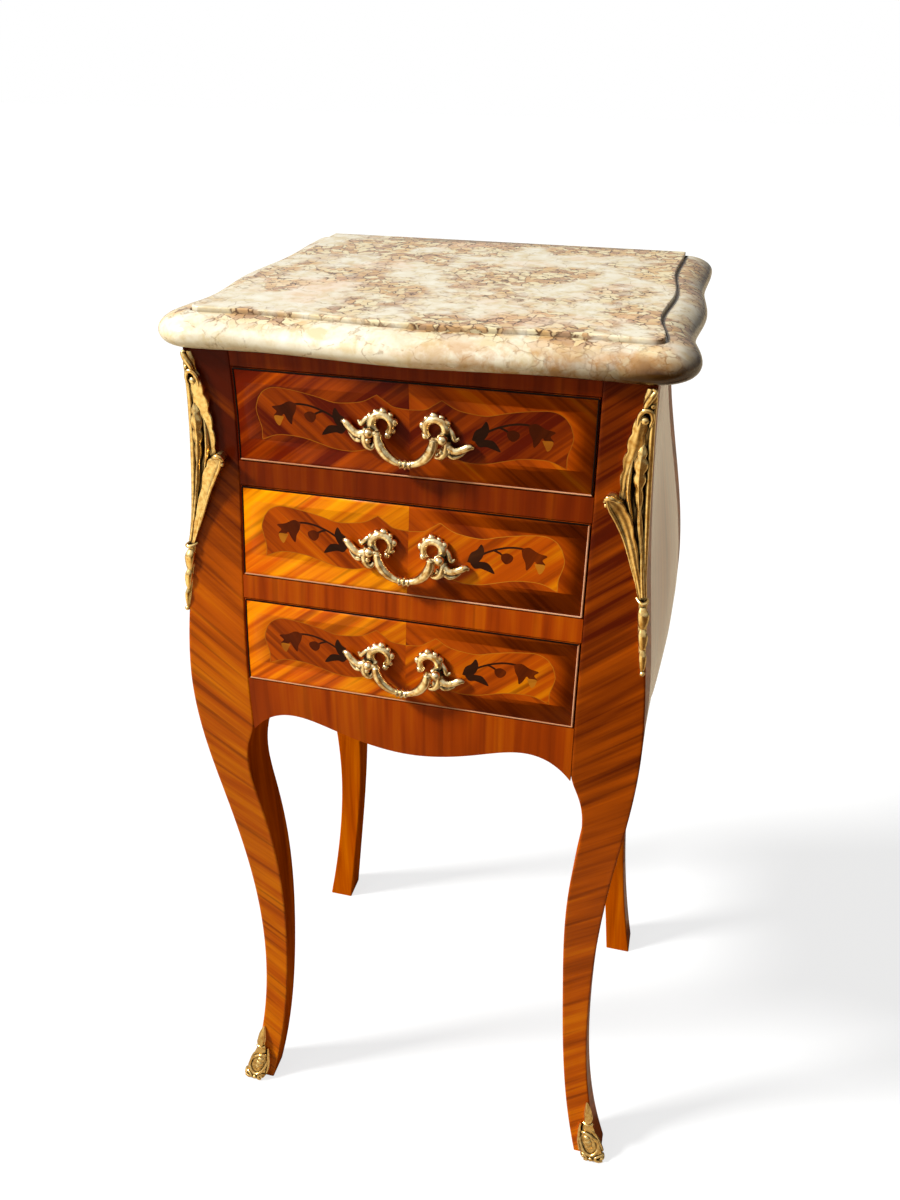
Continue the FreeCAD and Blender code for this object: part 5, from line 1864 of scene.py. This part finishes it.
@dataclass
class Studio:
    """Pale floor, soft light from the upper left, and the camera of the picture."""

    focal_px: float = 1004.0
    long_side_px: float = 1200.0
    sensor_mm: float = 36.0
    clip_start: float = 0.01
    azimuth: float = 13.78
    pitch: float = 27.17
    roll: float = 0.47
    eye: Place = (0.1709, -0.6940, 0.8884)
    shift: Limits = (-0.0063, -0.0435)
    sun_strength: float = 5.9
    sun_softness: float = 9.0
    sun_travel: Place = (0.68, 0.3, -0.67)
    softbox_eye: Place = (-1.3, -1.3, 1.7)
    softbox_aim: Place = (-0.05, 0, 0.55)
    softbox_width: float = 0.9
    softbox_watts: float = 7.0
    bright_side: Place = (-0.62, -0.3, 0.72)
    bright_limits: Limits = (-0.6, 0.9)
    fill_strength: Limits = (0.12, 0.28)
    mirror_strength: Limits = (0.1, 1.0)
    floor_half: float = 12.0
    floor_colour: str = "#F4F4F2"
    floor_glow: float = 0.77
    # Colours that the floor throws back on the piece, from left to right and far behind
    floor_across: Limits = (-0.6, 0.4)
    floor_tints: Stops = ((0.0, "#E8DCC0"), (0.5, "#C0A67C"), (1.0, "#5A4630"))
    floor_behind: Limits = (-0.5, -0.3)
    floor_behind_tint: str = "#A89A82"

    def camera(self) -> None:
        """Sets the camera on the fitted view."""
        azimuth, pitch, roll = (math.radians(v) for v in (self.azimuth, self.pitch, self.roll))
        level = Vector((math.cos(azimuth), math.sin(azimuth), 0))
        onward = Vector((-math.sin(azimuth), math.cos(azimuth), 0))
        ahead = onward * math.cos(pitch) - Vector((0, 0, math.sin(pitch)))
        above = level.cross(ahead)
        right = level * math.cos(roll) + above * math.sin(roll)
        up = above * math.cos(roll) - level * math.sin(roll)
        lens = bpy.data.cameras.new("view")
        lens.sensor_width = self.sensor_mm
        lens.lens = self.sensor_mm * self.focal_px / self.long_side_px
        lens.shift_x, lens.shift_y = self.shift
        lens.clip_start = self.clip_start
        camera = bpy.data.objects.new("view", lens)
        turn = Matrix((right, up, -ahead)).transposed().to_4x4()
        camera.matrix_world = Matrix.Translation(self.eye) @ turn
        bpy.context.scene.collection.objects.link(camera)
        bpy.context.scene.camera = camera

    def hang(self, name: str, light: bpy.types.Light, place: Sequence[float], way: Sequence[float]) -> None:
        """Hangs a light.

        Args:
            name: The light's name.
            light: Its data.
            place: Where it hangs, in metres.
            way: The way it shines.
        """
        lamp = bpy.data.objects.new(name, light)
        lamp.location = place
        lamp.rotation_euler = Vector(way).to_track_quat("-Z", "Y").to_euler()
        lamp.visible_camera = False
        bpy.context.scene.collection.objects.link(lamp)

    def light(self) -> None:
        """Hangs a soft key from the upper left and a softbox, in a surround that is white to the camera."""
        sun = bpy.data.lights.new("key", "SUN")
        sun.energy = self.sun_strength
        sun.angle = math.radians(self.sun_softness)
        self.hang("key", sun, (0, 0, 0), self.sun_travel)
        panel = bpy.data.lights.new("left", "AREA")
        panel.size = self.softbox_width
        panel.energy = self.softbox_watts
        self.hang("left", panel, self.softbox_eye, Vector(self.softbox_aim) - Vector(self.softbox_eye))
        world = bpy.data.worlds.new("surround")
        bpy.context.scene.world = world
        world.use_nodes = True
        tree = world.node_tree
        path = add_node(tree, "ShaderNodeLightPath")
        way = add_node(tree, "ShaderNodeTexCoord")["Object"]
        parts = (way, self.bright_side)
        toward = add_node(tree, "ShaderNodeVectorMath", parts, operation="DOT_PRODUCT")["Value"]
        fill_level, mirror_level = (
            add_node(tree, "ShaderNodeMapRange", (toward, *self.bright_limits, *strength))[0]
            for strength in (self.fill_strength, self.mirror_strength)
        )
        parts = (path["Is Glossy Ray"], 0.0, 1.0, fill_level, mirror_level)
        unseen = add_node(tree, "ShaderNodeMapRange", parts)[0]
        parts = (path["Is Camera Ray"], path["Is Transmission Ray"])
        seen = add_node(tree, "ShaderNodeMath", parts, operation="MAXIMUM")[0]
        strength = add_node(tree, "ShaderNodeMapRange", (seen, 0.0, 1.0, unseen, 1.0))[0]
        fill(tree, tree.nodes["Background"], {"Color": (1, 1, 1, 1), "Strength": strength})

    def floor(self) -> None:
        """Lays a pale floor that keeps a light shadow."""
        material, tree = new_material("pale_floor")
        tree.nodes.remove(tree.nodes["Principled BSDF"])
        place = add_node(tree, "ShaderNodeTexCoord")["Object"]
        spot = add_node(tree, "ShaderNodeSeparateXYZ", [place])
        across = add_node(tree, "ShaderNodeMapRange", (spot["X"], *self.floor_across))[0]
        tint = add_node(tree, "ShaderNodeValToRGB", [across], self.floor_tints)["Color"]
        behind = add_node(tree, "ShaderNodeMapRange", (spot["Y"], *self.floor_behind))[0]
        parts = {"Factor": behind, "A": tint, "B": linear(self.floor_behind_tint)}
        tint = add_node(tree, "ShaderNodeMix", parts, data_type="RGBA")["Result"]
        thrown = add_node(tree, "ShaderNodeBsdfDiffuse", {"Color": tint})[0]
        pale = add_node(tree, "ShaderNodeBsdfDiffuse", {"Color": linear(self.floor_colour)})[0]
        glow = add_node(tree, "ShaderNodeEmission", {"Color": (1, 1, 1, 1), "Strength": 1.0})[0]
        seen = add_node(tree, "ShaderNodeMixShader", (self.floor_glow, pale, glow))[0]
        camera_ray = add_node(tree, "ShaderNodeLightPath")["Is Camera Ray"]
        both = add_node(tree, "ShaderNodeMixShader", (camera_ray, thrown, seen))[0]
        fill(tree, tree.nodes["Material Output"], {"Surface": both})
        mesh = bpy.data.meshes.new("floor")
        half = self.floor_half
        corners = [(-half, -half, 0), (half, -half, 0), (half, half, 0), (-half, half, 0)]
        mesh.from_pydata(corners, [], [(0, 1, 2, 3)])
        mesh.materials.append(material)
        floor = bpy.data.objects.new("floor", mesh)
        bpy.context.scene.collection.objects.link(floor)

    def build(self) -> None:
        """Sets up floor, light and camera."""
        bpy.context.scene.view_settings.view_transform = "Standard"
        self.floor()
        self.light()
        self.camera()


def main() -> None:
    """Builds and dresses every part of the nightstand."""
    logging.basicConfig(level=logging.INFO)
    materials = Materials()
    forge = Forge()
    JoineryWoods().dress(materials)
    for end in ("front", "back"):
        for side in SIDES:
            CabrioleLeg(end, side).build(materials)
    for side in SIDES:
        SidePanel(side).build(materials)
    MarbleTop().build(materials)
    for row, (border, field) in DRAWER_PAINTED_LIGHT.items():
        front = DrawerFront(row, border, field, worn_highlit_right=row != "upper")
        front.build(materials, forge)
        DropHandle(row, front).build(materials, forge)
    case_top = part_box("marble_top")[0].z / MM
    for side in SIDES:
        CornerMount(side, case_top, TAIL_OUT[side]).build(materials, forge)
        Shoe(side).build(materials, forge)
    Studio().build()


if __name__ == "__main__":
    main()
